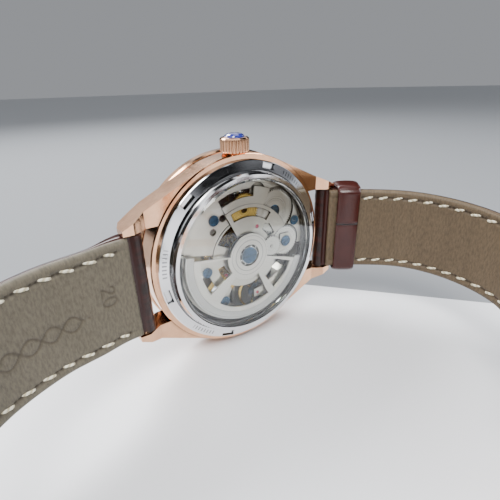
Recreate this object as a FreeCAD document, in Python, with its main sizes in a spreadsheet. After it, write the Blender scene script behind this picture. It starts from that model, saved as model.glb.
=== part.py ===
import FreeCAD, Part
import math
import os
import re
import Sketcher
from FreeCAD import Placement, Rotation, Vector

# Mechanical wristwatch with a glazed back, standing on its 9 o'clock flank with the
# crown up (+Z), the back towards -Y and the 12 o'clock lugs towards +X. Millimetres.
# The origin is on the movement's axis, in the plane of the case-back ring's rim.
# Round pieces are drawn in the watch frame: x as in the row, y up along the stem,
# z out of the back, and WATCH turns that frame into the row's.

SIZES = {
    # case
    "case_radius": 20.55, "case_lip_radius": 20.4, "back_face": -0.73, "bezel_seat": -6.0,
    "case_bore": 17.05, "thread_radius": 18.3, "thread_floor": -2.4,
    "bezel_radius": 20.9, "bezel_front": -9.6, "crystal_radius": 17.4, "crystal_front": -10.2,
    "ring_radius": 19.45, "ring_top": 1.95, "glass_radius": 16.16, "glass_top": 2.1, "glass_floor": 1.0,
    "notch_width": 3.0, "notch_inner": 17.95, "notch_outer": 19.2,
    "lug_gap": 20.2, "lug_back": 0.62, "bar_x": 23.2, "bar_depth": -1.2, "bar_radius": 0.9,
    # crown and stem
    "stem_depth": -3.05, "stem_radius": 0.45, "crown_radius": 2.85, "crown_foot": 20.75,
    "crown_top": 23.5, "tube_radius": 1.3, "crown_flutes": 26,
    # movement
    "movement_radius": 15.8, "plate_back": -3.9, "plate_front": -5.0,
    "bridge_floor": -1.3, "bridge_top": -0.6, "wheel_thick": 0.2,
    "holder_radius": 16.95, "dial_radius": 16.9, "dial_back": -5.3, "dial_front": -5.7,
    # rotor
    "rotor_radius": 14.65, "rim_inner": 12.4, "rotor_floor": 0.28, "rotor_top": 0.6,
    "rotor_hub": 4.7, "weight_floor": -0.1,
    # strap
    "strap_width": 19.6, "strap_tip_width": 17.8, "strap_taper": 60.0, "strap_root": 4.2, "strap_thick": 3.0,
}

doc = FreeCAD.newDocument("skeleton_wristwatch")
dims = doc.addObject("Spreadsheet::Sheet", "dims")
for row, (alias, value) in enumerate(SIZES.items(), 1):
    dims.set(f"A{row}", alias)
    dims.set(f"B{row}", str(value))
    dims.setAlias(f"B{row}", alias)
doc.recompute()

WORD = re.compile(r"[a-z_]+")
WATCH = Placement(Vector(0, 0, 0), Rotation(Vector(1, 0, 0), 90))
UPRIGHT = Rotation(Vector(1, 0, 0), 0)
parts = []


# ---------------------------------------------------------------- drawing helpers

def bind(item, prop, formula):
    """Bind a property to a formula in the sheet's aliases."""
    item.setExpression(prop, WORD.sub(lambda w: "dims." + w[0] if w[0] in SIZES else w[0], str(formula)))


def number(formula):
    """The value of a formula in the sheet's aliases."""
    return float(dims.evalExpression(str(formula)))


def keep(item, label, placement=WATCH):
    item.Label = label
    item.Placement = placement
    parts.append(item)
    return item


def body(label, placement=WATCH):
    return keep(doc.addObject("PartDesign::Body", label), label, placement)


def at(x, y, turn=0.0):
    """A place in the watch frame, with a turn in degrees about the watch's axis."""
    return WATCH * Placement(Vector(x, y, 0), Rotation(Vector(0, 0, 1), turn))


def sketch(owner, plane="XY_Plane", depth=0):
    drawing = owner.newObject("Sketcher::SketchObject", owner.Name + "_sketch")
    support = next(f for f in owner.Origin.OriginFeatures if f.Role == plane)
    drawing.AttachmentSupport = [(support, "")]
    drawing.MapMode = "FlatFace"
    bind(drawing, ".AttachmentOffset.Base.z", depth)
    return drawing


def pin_point(drawing, edge, end, point):
    """Hold one end of an edge at a point given by two formulas."""
    for kind, formula in zip(("DistanceX", "DistanceY"), point):
        rule = drawing.addConstraint(Sketcher.Constraint(kind, -1, 1, edge, end, number(formula)))
        bind(drawing, f"Constraints[{rule}]", formula)


def outline(drawing, points):
    """A closed polygon whose corners are pairs of formulas."""
    spots = [Vector(number(x), number(y), 0) for x, y in points]
    first = drawing.GeometryCount
    for start, end in zip(spots, spots[1:] + spots[:1]):
        drawing.addGeometry(Part.LineSegment(start, end))
    for k, point in enumerate(points):
        after = first + (k + 1) % len(points)
        drawing.addConstraint(Sketcher.Constraint("Coincident", first + k, 2, after, 1))
        pin_point(drawing, first + k, 1, point)
    return drawing


def circle(drawing, radius, x=0, y=0):
    edge = drawing.addGeometry(Part.Circle(Vector(number(x), number(y), 0), Vector(0, 0, 1), number(radius)))
    pin_point(drawing, edge, 3, (x, y))
    rule = drawing.addConstraint(Sketcher.Constraint("Radius", edge, number(radius)))
    bind(drawing, f"Constraints[{rule}]", radius)
    return drawing


def band(drawing, inner, outer, start, end):
    """A closed piece of a ring about the origin, between two angles in degrees."""
    first = drawing.GeometryCount
    angles = math.radians(start), math.radians(end)
    corners = {}
    for radius in (inner, outer):
        arc = Part.Circle(Vector(0, 0, 0), Vector(0, 0, 1), number(radius))
        edge = drawing.addGeometry(Part.ArcOfCircle(arc, *angles))
        drawing.addConstraint(Sketcher.Constraint("Coincident", edge, 3, -1, 1))
        rule = drawing.addConstraint(Sketcher.Constraint("Radius", edge, number(radius)))
        bind(drawing, f"Constraints[{rule}]", radius)
        corners[radius] = [Vector(math.cos(a), math.sin(a), 0) * number(radius) for a in angles]
    for end_index in (0, 1):
        side = drawing.addGeometry(Part.LineSegment(corners[inner][end_index], corners[outer][end_index]))
        drawing.addConstraint(Sketcher.Constraint("Coincident", side, 1, first, end_index + 1))
        drawing.addConstraint(Sketcher.Constraint("Coincident", side, 2, first + 1, end_index + 1))
    return drawing


def pad(owner, drawing, length, midplane=False):
    feature = owner.newObject("PartDesign::Pad", owner.Name + "_pad")
    feature.Profile = drawing
    feature.Midplane = midplane
    bind(feature, "Length", length)
    doc.recompute()
    return feature


def cut(owner, drawing, length=None, midplane=True, reverse=False):
    """Cut a sketch out of a body: right through, or to a length on one side."""
    before = owner.Shape.Volume
    feature = owner.newObject("PartDesign::Pocket", owner.Name + "_pocket")
    feature.Profile = drawing
    feature.Midplane = midplane
    feature.Reversed = reverse
    if length is None:
        feature.Type = 1
    else:
        bind(feature, "Length", length)
    doc.recompute()
    if owner.Shape.Volume > before - 1e-6:
        raise ValueError(f"a pocket of {owner.Label} cuts nothing")
    return feature


def turned(owner, points, remove=False):
    """Turn a profile of (radius, height) formulas about the body's axis."""
    drawing = outline(sketch(owner, "XZ_Plane"), points)
    kind = "Groove" if remove else "Revolution"
    feature = owner.newObject("PartDesign::" + kind, owner.Name + "_turned")
    feature.Profile = drawing
    feature.ReferenceAxis = (drawing, ["V_Axis"])
    feature.Angle = 360
    doc.recompute()
    return feature


def repeat(owner, feature, count):
    """Repeat a feature round the body's axis."""
    ring = owner.newObject("PartDesign::PolarPattern", owner.Name + "_ring")
    ring.Originals = [feature]
    ring.Axis = (feature.Profile[0], ["N_Axis"])
    ring.Occurrences = count
    ring.Angle = 360
    owner.Tip = ring
    doc.recompute()
    return ring


def drill(owner, radius, holes):
    drawing = sketch(owner)
    for x, y in holes:
        circle(drawing, radius, x, y)
    return cut(owner, drawing)


def lathe(label, points, placement=WATCH):
    """A piece turned from one profile."""
    piece = body(label, placement)
    turned(piece, points)
    return piece


def solid(label, shape, placement=None):
    """A piece whose shape is worked out with Part's own functions."""
    piece = doc.addObject("Part::Feature", label)
    piece.Shape = shape
    return keep(piece, label, placement or Placement())


# ---------------------------------------------------------------- gear helpers

def teeth(owner, count, module, floor, thick):
    """Add a toothed disc and cut its tooth spaces, the first one centred on +x."""
    pad(owner, circle(sketch(owner, depth=floor), module * (count / 2 + 1)), thick)
    root, tip = module * (count / 2 - 1.25), module * (count / 2 + 1.25)
    foot, mouth = math.pi * module * 0.16, math.pi * module * 0.38
    middle = f"{floor} + {thick} / 2"
    gap = outline(sketch(owner, depth=middle), [(root, -foot), (tip, -mouth), (tip, mouth), (root, foot)])
    return repeat(owner, cut(owner, gap, f"{thick} + 0.01"), count)


def crossings(owner, arms, inner, outer, floor):
    """Cut the windows between a wheel's arms."""
    half = 0.82 * math.pi / arms
    near, far = inner * math.sin(half), outer * math.sin(half)
    near_x, far_x = inner * math.cos(half) + 0.1, outer * math.cos(half)
    window = outline(sketch(owner, depth=f"{floor} + 0.1"),
                     [(near_x, -near * 0.6), (far_x, -far), (outer * 0.97, 0), (far_x, far),
                      (near_x, near * 0.6)])
    return repeat(owner, cut(owner, window, 0.9), arms)


def disc(owner, radius, floor, thick):
    return pad(owner, circle(sketch(owner, depth=floor), radius), thick)


def bore(owner, radius):
    return cut(owner, circle(sketch(owner), radius))


def polar(centre, distance, angle):
    angle = math.radians(angle)
    return centre[0] + distance * math.cos(angle), centre[1] + distance * math.sin(angle)


def spun(points, angle):
    """Points turned about the origin."""
    cos, sin = math.cos(math.radians(angle)), math.sin(math.radians(angle))
    return [(x * cos - y * sin, x * sin + y * cos) for x, y in points]


def span(one, other):
    return math.hypot(other[0] - one[0], other[1] - one[1])


def meshed(one, turn, count, other, other_count):
    """The turn that puts another wheel's teeth between those of a wheel already placed."""
    line = math.degrees(math.atan2(other[1] - one[1], other[0] - one[0]))
    share = (line - turn) * count / 360
    return line + 180 - (0.5 - share) * 360 / other_count


# ---------------------------------------------------------------- layout of the wheels

CENTRE = (0.0, 0.0)
BARREL = (7.35, 7.85)
INTERMEDIATE = (2.6, 5.6)
THIRD = polar(CENTRE, 6.3, 216)
ESCAPE = polar(CENTRE, 6.1, -50)
PALLET = polar(ESCAPE, 2.42, -104.5)
BALANCE = polar(PALLET, 3.3, -104.5)
WINDING_MODULE = 0.155
RATCHET_TEETH, CROWN_WHEEL_TEETH, DRIVING_TEETH, REVERSER_PINION_TEETH = 60, 41, 43, 10
CROWN_WHEEL = (-0.25, BARREL[1] + math.sqrt((WINDING_MODULE * 50.5) ** 2 - 7.6 ** 2))
DRIVING = polar(BARREL, WINDING_MODULE * (RATCHET_TEETH + DRIVING_TEETH) / 2, -68.4)
REVERSER = polar(DRIVING, WINDING_MODULE * (DRIVING_TEETH + REVERSER_PINION_TEETH) / 2, -177.9)
ROTOR_TEETH, REVERSER_TEETH = 54, 32
ROTOR_MODULE = 2 * span(CENTRE, REVERSER) / (ROTOR_TEETH + REVERSER_TEETH)
BARREL_TEETH, INTERMEDIATE_PINION = 80, 15
INTERMEDIATE_TEETH, CENTRE_DRIVE = 52, 34
CENTRE_TEETH, THIRD_PINION, THIRD_TEETH, FOURTH_PINION = 80, 10, 75, 10
FOURTH_TEETH, ESCAPE_PINION, ESCAPE_TEETH = 80, 8, 18
CANNON_TEETH, MINUTE_TEETH, MINUTE_PINION, HOUR_TEETH = 12, 36, 10, 40
MINUTE = (-2.4, 0.0)
CLICK_PIVOT = (2.7, 13.35)
FACE_TEETH, WINDING_PINION_TEETH = 30, 16
BRIDGE_SCREWS = [(-7.3, 8.9), (-9.55, -1.6), (-5.9, -9.55), (13.0, 4.6), (11.4, -7.6)]
DEPTHS = {"drive": -3.82, "centre": -3.5, "third": -3.1, "fourth": -2.7, "escape": -2.3}


# ---------------------------------------------------------------- case

def lug_side(side):
    """The side of a lug: from the case out to the tip, which stands back over the strap."""
    points = [(8, -5.9), (8, -1.15), (20.2, -1.0), (22.66, "lug_back"), (24.6, "lug_back - 0.04"),
              (24.72, -2.2), (24.0, -3.9), (21.6, -5.0), (19, -5.9)]
    return [(f"{side} * ({x})", y) for x, y in points]


def case_middle():
    case = body("case_middle")
    sides = sketch(case, "XZ_Plane")
    gaps, flanks = sketch(case), sketch(case)
    for side in (1, -1):
        outline(sides, lug_side(side))
        corners = [(12, "-lug_gap / 2"), (27, "-lug_gap / 2"), (27, "lug_gap / 2"), (12, "lug_gap / 2")]
        outline(gaps, [(side * x, y) for x, y in corners])
        for up in (1, -1):
            outline(flanks, [(side * x, up * y) for x, y in [(26, 10.4), (6.5, 19.66), (6.5, 22), (26, 22)]])
    pad(case, sides, 38, midplane=True)
    cut(case, gaps)
    cut(case, flanks)
    turned(case, [(16, "back_face"), ("case_lip_radius", "back_face"), ("case_lip_radius", "back_face - 0.4"),
                  ("case_radius", "back_face - 0.5"), ("case_radius", "bezel_seat"), (16, "bezel_seat")])
    turned(case, [(0, -12), ("case_bore", -12), ("case_bore", "thread_floor"),
                  ("thread_radius", "thread_floor"), ("thread_radius", 4), (0, 4)], remove=True)
    turned(case, [(18.6, "back_face - 0.32"), (19.2, "back_face - 0.32"), (19.2, 4), (18.6, 4)], remove=True)
    bars = sketch(case, "XZ_Plane")
    for side in (1, -1):
        circle(bars, 0.42, f"{side} * bar_x", "bar_depth")
    cut(case, bars, "lug_gap + 2.4")
    cut(case, circle(sketch(case, "XZ_Plane"), "tube_radius", 0, "stem_depth"), 24, midplane=False)


def bezel():
    lathe("bezel", [(20.6, -6.03), ("bezel_radius", -6.33), ("bezel_radius", -7.7), (20.4, -8.5),
                    (18.7, -9.4), (17.65, "bezel_front"), (17.65, -8.85), (16.8, -8.85), (16.25, -5.76),
                    (16.98, -5.76), (16.98, -6.03)])


def crystal():
    lathe("crystal", [(0, -8.9), ("crystal_radius", -8.9), ("crystal_radius", -9.75),
                      ("crystal_radius - 0.4", "crystal_front"), (0, "crystal_front")])


def caseback():
    ring = lathe("caseback_ring", [
        (18.25, -0.7), ("ring_radius", -0.7), ("ring_radius", 0), (19.33, 0.12), (17.6, 0.42), (17.45, 0.28),
        (17.25, 0.28), (17.25, 1.35), (16.95, "ring_top"), (16.24, "ring_top"), (16.24, 0.9), (15.7, 0.9),
        (15.7, 0.62), (16.6, 0.45), (17.35, -0.4), (17.35, -2.2), (18.25, -2.2)])
    notch = [("notch_inner", "-notch_width / 2"), ("notch_outer", "-notch_width / 2"),
             ("notch_outer", "notch_width / 2"), ("notch_inner", "notch_width / 2")]
    slot = cut(ring, outline(sketch(ring, depth=-0.3), notch), 2, midplane=False, reverse=True)
    repeat(ring, slot, 6)
    ring.Placement = WATCH * Placement(Vector(0, 0, 0), Rotation(Vector(0, 0, 1), 12))
    lathe("caseback_glass", [(0, "glass_floor"), ("glass_radius", "glass_floor"), ("glass_radius", 1.8),
                             ("glass_radius - 0.35", "glass_top"), (0, "glass_top")])
    rings = []
    for low, high, inner, outer in ((-9.58, -8.88, 17.42, 17.63), (0.91, 0.99, 15.75, 16.2),
                                    (-1.03, -0.72, 18.65, 19.15)):
        shape = Part.makeCylinder(outer, high - low, Vector(0, 0, low))
        rings.append(shape.cut(Part.makeCylinder(inner, high - low, Vector(0, 0, low))))
    solid("sealing_rings", Part.makeCompound(rings), WATCH)


def lug_spring_bars():
    bars = []
    for side in (1, -1):
        foot = Vector(side * number("bar_x"), -number("bar_depth"), 0)
        length = number("lug_gap") - 0.1
        bar = Part.makeCylinder(number("bar_radius"), length, foot - Vector(0, 0, length / 2))
        tips = Part.makeCylinder(0.4, length + 2.2, foot - Vector(0, 0, length / 2 + 1.1))
        bars.append(bar.fuse(tips))
    solid("lug_spring_bars", Part.makeCompound(bars))


# ---------------------------------------------------------------- crown and keyless works

STEM = Placement(Vector(0, -SIZES["stem_depth"], 0), UPRIGHT)


def crown():
    lathe("crown_tube", [(0.75, 18.4), ("tube_radius - 0.02", 18.4), ("tube_radius - 0.02", 21.6),
                         (0.75, 21.6)], STEM)
    cap = lathe("crown", [(1.35, "crown_foot"), ("crown_radius - 0.25", "crown_foot"),
                          ("crown_radius", "crown_foot + 0.25"), ("crown_radius", "crown_top - 0.3"),
                          ("crown_radius - 0.25", "crown_top - 0.05"), (2.3, "crown_top"),
                          (2.05, "crown_top - 0.15"), (0, "crown_top - 0.15"), (0, 23.0), (1.35, 23.0)], STEM)
    flute = sketch(cap, depth="crown_foot - 0.1")
    circle(flute, 0.3, "crown_radius + 0.02", 0)
    repeat(cap, cut(cap, flute, "crown_top - crown_foot - 0.25", midplane=False, reverse=True),
           SIZES["crown_flutes"])
    lathe("crown_cabochon", [(0, 23.36), (1.98, 23.36), (1.98, 23.62), (1.8, 23.86), (1.4, 24.08),
                             (0.9, 24.2), (0, 24.28)], STEM)
    stem = body("winding_stem", STEM)
    turned(stem, [(0, 9.6), (0.38, 9.6), (0.38, 13.75), ("stem_radius", 13.75), ("stem_radius", 14.0),
                  (0.22, 14.0), (0.22, 14.6), ("stem_radius", 14.6), ("stem_radius", 21.7),
                  (0.6, 21.7), (0.6, 22.98), (0, 22.98)])
    flats = sketch(stem, depth=9.6)
    for side in (1, -1):
        outline(flats, [(side * 0.27, -1), (side * 1, -1), (side * 1, 1), (side * 0.27, 1)])
    cut(stem, flats, 4.1, midplane=False, reverse=True)


def keyless_works():
    pinion = body("winding_pinion", STEM)
    disc(pinion, 1.4, 11.9, 1.5)
    turned(pinion, [(0, 12.2), (1.6, 12.2), (1.6, 13.0), (0, 13.0)])
    gap = outline(sketch(pinion, depth=12.6), [(1.3, -0.13), (1.75, -0.27), (1.75, 0.27), (1.3, 0.13)])
    repeat(pinion, cut(pinion, gap, 1.2), WINDING_PINION_TEETH)
    bore(pinion, 0.47)
    clutch = body("sliding_pinion", STEM)
    turned(clutch, [(0, 10.0), (1.05, 10.0), (1.05, 10.35), (0.68, 10.35), (0.68, 10.95),
                    (1.05, 10.95), (1.05, 11.82), (0, 11.82)])
    bore(clutch, 0.4)
    lever = body("setting_lever")
    pad(lever, outline(sketch(lever, depth=-3.86), [(2.9, 14.1), (2.9, 15.0), (2.0, 15.2), (-0.35, 14.65),
                                                    (-0.35, 13.95), (1.6, 14.1)]), 0.22)
    disc_spot = circle(sketch(lever, depth=-3.86), 0.17, 0, 14.3)
    pad(lever, disc_spot, 0.52)
    drill(lever, 0.22, [(2.4, 14.6)])
    yoke = body("yoke")
    pad(yoke, outline(sketch(yoke, depth=-3.2), [(-4.3, 9.3), (-3.6, 8.9), (-1.9, 10.1), (-0.92, 10.46),
                                                 (-0.92, 10.82), (-2.1, 10.75), (-4.2, 10.0)]), 0.3)
    drill(yoke, 0.27, [(-3.85, 9.45)])


def winding_wheels():
    """Crown wheel, ratchet wheel, driving wheel and click on the back of the bridges."""
    wheel = body("ratchet_wheel", at(*BARREL))
    teeth(wheel, RATCHET_TEETH, WINDING_MODULE, -0.95, 0.42)
    turned(wheel, [(0, -0.74), (1.42, -0.74), (1.42, -0.4), (0, -0.4)], remove=True)
    bore(wheel, 0.62)
    turn = meshed(BARREL, 0, RATCHET_TEETH, CROWN_WHEEL, CROWN_WHEEL_TEETH)
    wheel = body("crown_wheel", at(*CROWN_WHEEL, turn))
    teeth(wheel, CROWN_WHEEL_TEETH, WINDING_MODULE, -0.95, 0.42)
    disc(wheel, 2.96, -1.52, 0.7)
    face = [(1.85, -0.14), (3.2, -0.22), (3.2, 0.22), (1.85, 0.14)]
    slot = outline(sketch(wheel, depth=-1.52), spun(face, 90 - turn + 180 / FACE_TEETH))
    repeat(wheel, cut(wheel, slot, 0.5), FACE_TEETH)
    bore(wheel, 0.75)
    turn = meshed(BARREL, 0, RATCHET_TEETH, DRIVING, DRIVING_TEETH)
    wheel = body("driving_wheel", at(*DRIVING, turn))
    teeth(wheel, DRIVING_TEETH, WINDING_MODULE, -0.95, 0.42)
    bore(wheel, 0.5)
    pinion_turn = meshed(DRIVING, turn, DRIVING_TEETH, REVERSER, REVERSER_PINION_TEETH)
    wheel = body("reverser_pinion", at(*REVERSER, pinion_turn))
    teeth(wheel, REVERSER_PINION_TEETH, WINDING_MODULE, -0.95, 0.42)
    bore(wheel, 0.33)
    screw = lathe("ratchet_screw", [(0, -0.73), (0, -0.54), (1.25, -0.54), (1.35, -0.6), (1.35, -0.73)],
                  at(*BARREL))
    slot_screw(screw, 1.5, -0.54)
    click = body("click")
    pad(click, outline(sketch(click, depth=-0.95), [(4.5, 11.94), (3.3, 12.3), (2.2, 12.9), (2.3, 13.8),
                                                    (3.1, 13.9), (4.1, 12.8)]), 0.35)
    drill(click, 0.3, [CLICK_PIVOT])


def slot_screw(screw, reach, top):
    """Cut a screwdriver slot into a screw's head."""
    line = outline(sketch(screw, depth=top), [(-reach, -0.15), (reach, -0.15), (reach, 0.15), (-reach, 0.15)])
    cut(screw, line, 0.26)


# ---------------------------------------------------------------- plates and bridges

def movement_ring():
    ring = lathe("movement_ring", [("movement_radius + 0.08", -5.2), ("holder_radius", -5.2),
                                   ("holder_radius", -1.2), (16.2, -0.5), ("movement_radius + 0.08", -0.5)])
    cut(ring, circle(sketch(ring, "XZ_Plane"), 1.35, 0, "stem_depth"), 24, midplane=False)


def main_plate():
    plate = body("main_plate")
    disc(plate, "movement_radius", "plate_front", "plate_back - plate_front")
    pad(plate, band(sketch(plate, depth=-3.95), 15.2, "movement_radius", 100, 352), "bridge_floor + 3.93")
    turned(plate, [(0, -6), (4.7, -6), (4.7, -4.5), (0, -4.5)], remove=True)
    windows = sketch(plate)
    outline(windows, [(-1.8, 9.2), (1.8, 9.2), (1.8, 13.7), (-1.8, 13.7)])
    band(windows, 8.0, 13.6, 150, 206)
    band(windows, 8.2, 13.6, 228, 262)
    band(windows, 9.0, 13.6, 304, 338)
    cut(plate, windows)
    drill(plate, 0.5, [CENTRE])
    drill(plate, 0.3, [THIRD, ESCAPE, PALLET, INTERMEDIATE, BALANCE])
    drill(plate, 0.55, [BARREL])


def post(bridge, x, y, radius=0.7):
    """A foot that stands a bridge on the main plate."""
    pad(bridge, circle(sketch(bridge, depth="plate_back + 0.01"), radius, x, y), "bridge_floor - plate_back")


def sink_wheels(bridge):
    """Recess a bridge round the winding wheels that lie on its back."""
    for spot, radius, floor in ((BARREL, 5.3, -1.02), (DRIVING, 3.85, -1.02), (CROWN_WHEEL, 3.55, -2)):
        recess = circle(sketch(bridge, depth=floor), radius, *spot)
        cut(bridge, recess, 3, midplane=False, reverse=True)


def barrel_bridge():
    """Upper bridge: it covers the barrel, with a curved slot over the winding work."""
    bridge = body("barrel_bridge")
    pad(bridge, band(sketch(bridge, depth="bridge_floor"), 8.3, 15.15, -4, 167), "bridge_top - bridge_floor")
    pad(bridge, band(sketch(bridge, depth="bridge_floor"), 15.0, "movement_radius", 20, 80), 0.6)
    for x, y in ((-12.6, 4.4), (14.3, 3.2), (-7.6, 12.2)):
        post(bridge, x, y)
    cut(bridge, band(sketch(bridge), 12.35, 13.9, 83, 116))
    sink_wheels(bridge)
    cut(bridge, circle(sketch(bridge, depth=-1.02), 1.9, 3.1, 12.9), 2, midplane=False, reverse=True)
    drill(bridge, 0.62, [BARREL])
    drill(bridge, 0.5, [DRIVING])
    drill(bridge, 0.5, BRIDGE_SCREWS[:1] + BRIDGE_SCREWS[3:4])
    drill(bridge, 0.75, [(-7.6, 6.6), (-5.3, 8.95)])


def train_bridge():
    """Lower bridge: a curved arm over the train wheels, with a window over the gilt wheel."""
    bridge = body("train_bridge")
    pad(bridge, band(sketch(bridge, depth="bridge_floor"), 0.9, 8.1, 18, 232), "bridge_top - bridge_floor")
    pad(bridge, band(sketch(bridge, depth="bridge_floor"), 8.0, 15.1, 176, 240), "bridge_top - bridge_floor")
    pad(bridge, band(sketch(bridge, depth="bridge_floor"), 3.4, 7.4, 228, 330), "bridge_top - bridge_floor")
    windows = band(sketch(bridge), 5.6, 7.6, 25, 52)
    band(windows, 3.6, 7.7, 112, 152)
    band(windows, 9.4, 11.0, 186, 232)
    band(windows, 5.4, 7.2, 192, 226)
    cut(bridge, windows)
    sink_wheels(bridge)
    post(bridge, -12.0, -6.6)
    post(bridge, -12.9, -0.9, 0.6)
    post(bridge, -7.2, -11.6, 0.6)
    drill(bridge, 0.4, [THIRD, ESCAPE, INTERMEDIATE])
    drill(bridge, 0.5, BRIDGE_SCREWS[1:3])


def balance_bridges():
    """The cock that carries the balance and its hairspring, on a foot at the rim."""
    cock = body("balance_cock")
    x, y = BALANCE
    arm = outline(sketch(cock, depth=-0.85), [(x - 0.9, y + 0.9), (x - 0.9, y - 0.9), (x + 3.2, y - 1.6),
                                              (9.6, -11.6), (12.6, -8.8), (10.6, -6.0), (8.2, -6.9),
                                              (x + 1.6, y + 1.3)])
    pad(cock, arm, 0.4)
    foot = outline(sketch(cock, depth="plate_back + 0.01"), [(9.3, -10.9), (12.3, -8.6), (10.6, -6.4),
                                                             (9.2, -7.3), (8.9, -9.2)])
    pad(cock, foot, "-0.8 - plate_back")
    drill(cock, 0.42, [BALANCE])
    drill(cock, 0.5, [BRIDGE_SCREWS[4]])


def automatic_bridge():
    """The plate under the rotor, with the studs of the rotor bearing and the reverser."""
    plate = body("automatic_bridge")
    floor = "bridge_top + 0.08"
    pad(plate, band(sketch(plate, depth=floor), 4.4, 10.75, 20, 117), 0.28)
    cut(plate, circle(sketch(plate), 3.75, *DRIVING))
    disc(plate, 4.55, floor, 0.28)
    pad(plate, outline(sketch(plate, depth=floor), [(3.4, -2.6), (11.0, -1.5), (12.2, 0.4), (11.2, 2.2),
                                                    (8.9, 2.3), (8.6, 0.9), (6.6, 1.2), (3.4, 2.2)]), 0.28)
    disc(plate, 1.05, -0.45, 0.79)
    pad(plate, circle(sketch(plate, depth=-1.2), 0.3, *REVERSER), 1.36)
    pad(plate, band(sketch(plate, depth=floor), 10.6, 12.3, 66, 116), 0.2)
    pad(plate, band(sketch(plate, depth=floor), 12.1, 14.3, 65, 81), 0.2)
    windows = band(sketch(plate), 8.15, 10.1, 52, 111)
    outline(windows, [(4.6, 6.0), (5.9, 5.5), (7.2, 3.2), (5.6, 2.6), (3.9, 4.7)])
    cut(plate, windows)
    drill(plate, 0.55, [CENTRE])
    drill(plate, 0.55, [DRIVING])
    drill(plate, 0.47, [INTERMEDIATE])


def screws():
    """Blued bridge screws with slotted heads, and the screw of the driving wheel."""
    heads = []
    tops = [(spot, -0.6, 1.05) for spot in BRIDGE_SCREWS[:4]]
    tops += [(BRIDGE_SCREWS[4], -0.45, 1.0), (DRIVING, -0.24, 1.2)]
    for place, ((x, y), base, radius) in enumerate(tops):
        top = base + 0.24
        head = Part.makeCylinder(radius, 0.22, Vector(x, y, base + 0.02))
        shank = Part.makeCylinder(0.42, base + 0.02 + 1.25, Vector(x, y, -1.25))
        slot = Part.makeBox(3, 0.3, 0.15, Vector(-1.5, -0.15, 0))
        slot.rotate(Vector(0, 0, 0), Vector(0, 0, 1), 37 * place + 20)
        slot.translate(Vector(x, y, top - 0.12))
        heads.append(head.fuse(shank).cut(slot))
    solid("bridge_screws", Part.makeCompound(heads), WATCH)


def jewels():
    """Ruby bearings: a ring with a pivot hole, at both ends of the train's arbors."""
    stones = []
    spots = [(THIRD, -0.98, 0.38), (ESCAPE, -0.98, 0.38), (INTERMEDIATE, -0.98, 0.38), (BALANCE, -0.8, 0.38),
             (INTERMEDIATE, -0.55, 0.45)]
    for (x, y), base, radius in spots:
        stone = Part.makeCylinder(radius, 0.3, Vector(x, y, base))
        stones.append(stone.cut(Part.makeCylinder(0.12, 1, Vector(x, y, base - 0.2))))
    for x, y in (THIRD, ESCAPE, PALLET, INTERMEDIATE, BALANCE):
        stone = Part.makeCylinder(0.29, 0.3, Vector(x, y, -4.4))
        stones.append(stone.cut(Part.makeCylinder(0.12, 1, Vector(x, y, -4.7))))
    solid("jewels", Part.makeCompound(stones), WATCH)


# ---------------------------------------------------------------- automatic winding

def rotor():
    plate = body("rotor_plate")
    floor, thick = "rotor_floor", "rotor_top - rotor_floor"
    pad(plate, band(sketch(plate, depth=floor), 0.5, "rim_inner + 0.5", -190, -18), thick)
    disc(plate, "rotor_hub", floor, thick)
    windows = sketch(plate, depth=floor)
    band(windows, 5.2, 11.4, -187, -148)
    band(windows, 5.4, 11.8, -132, -66)
    band(windows, 7.2, 11.9, -57, -22)
    cut(plate, windows, 2)
    disc(plate, 3.3, -0.14, 0.44)
    teeth(plate, ROTOR_TEETH, ROTOR_MODULE, -0.14, 0.22)
    bore(plate, 2.4)
    weight = body("rotor_weight")
    pad(weight, band(sketch(weight, depth="weight_floor"), "rim_inner + 0.55", "rotor_radius", -193, -16),
        "rotor_top - weight_floor")
    lathe("rotor_bearing", [(0.55, 0.36), (1.9, 0.36), (1.9, 0.4), (1.78, 0.48), (1.9, 0.56), (1.9, 0.6),
                            (0.55, 0.6)])
    balls = []
    for k in range(9):
        angle = math.radians(40 * k)
        balls.append(Part.makeSphere(0.19, Vector(2.12 * math.cos(angle), 2.12 * math.sin(angle), 0.44)))
    solid("bearing_balls", Part.makeCompound(balls), WATCH)
    screw = lathe("rotor_screw", [(0, -0.3), (0.5, -0.3), (0.5, 0.62), (1.75, 0.62), (1.75, 0.78),
                                  (1.62, 0.86), (0, 0.86)])
    slot_screw(screw, 2, 0.86)


def reverser_wheel():
    wheel = body("reverser_wheel", at(*REVERSER, meshed(CENTRE, 0, ROTOR_TEETH, REVERSER, REVERSER_TEETH)))
    teeth(wheel, REVERSER_TEETH, ROTOR_MODULE, -0.14, 0.2)
    bore(wheel, 0.33)


# ---------------------------------------------------------------- going train

def barrel():
    drum = body("barrel_drum", at(*BARREL, BARREL_TURN))
    module = 2 * span(BARREL, INTERMEDIATE) / (BARREL_TEETH + INTERMEDIATE_PINION)
    teeth(drum, BARREL_TEETH, module, -3.1, 0.3)
    disc(drum, 3.9, -3.55, 2.05)
    turned(drum, [(0, -3.3), (3.65, -3.3), (3.65, -1.75), (0, -1.75)], remove=True)
    bore(drum, 0.6)
    lathe("barrel_arbor", [(0, -4.7), (0.5, -4.7), (0.5, -3.29), (1.0, -3.29), (1.0, -1.76), (0.56, -1.76),
                           (0.56, -0.75), (0, -0.75)], at(*BARREL))
    solid("mainspring", spiral(1.15, 3.6, 9, 0.13, -3.25, 1.45), at(*BARREL))


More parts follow.
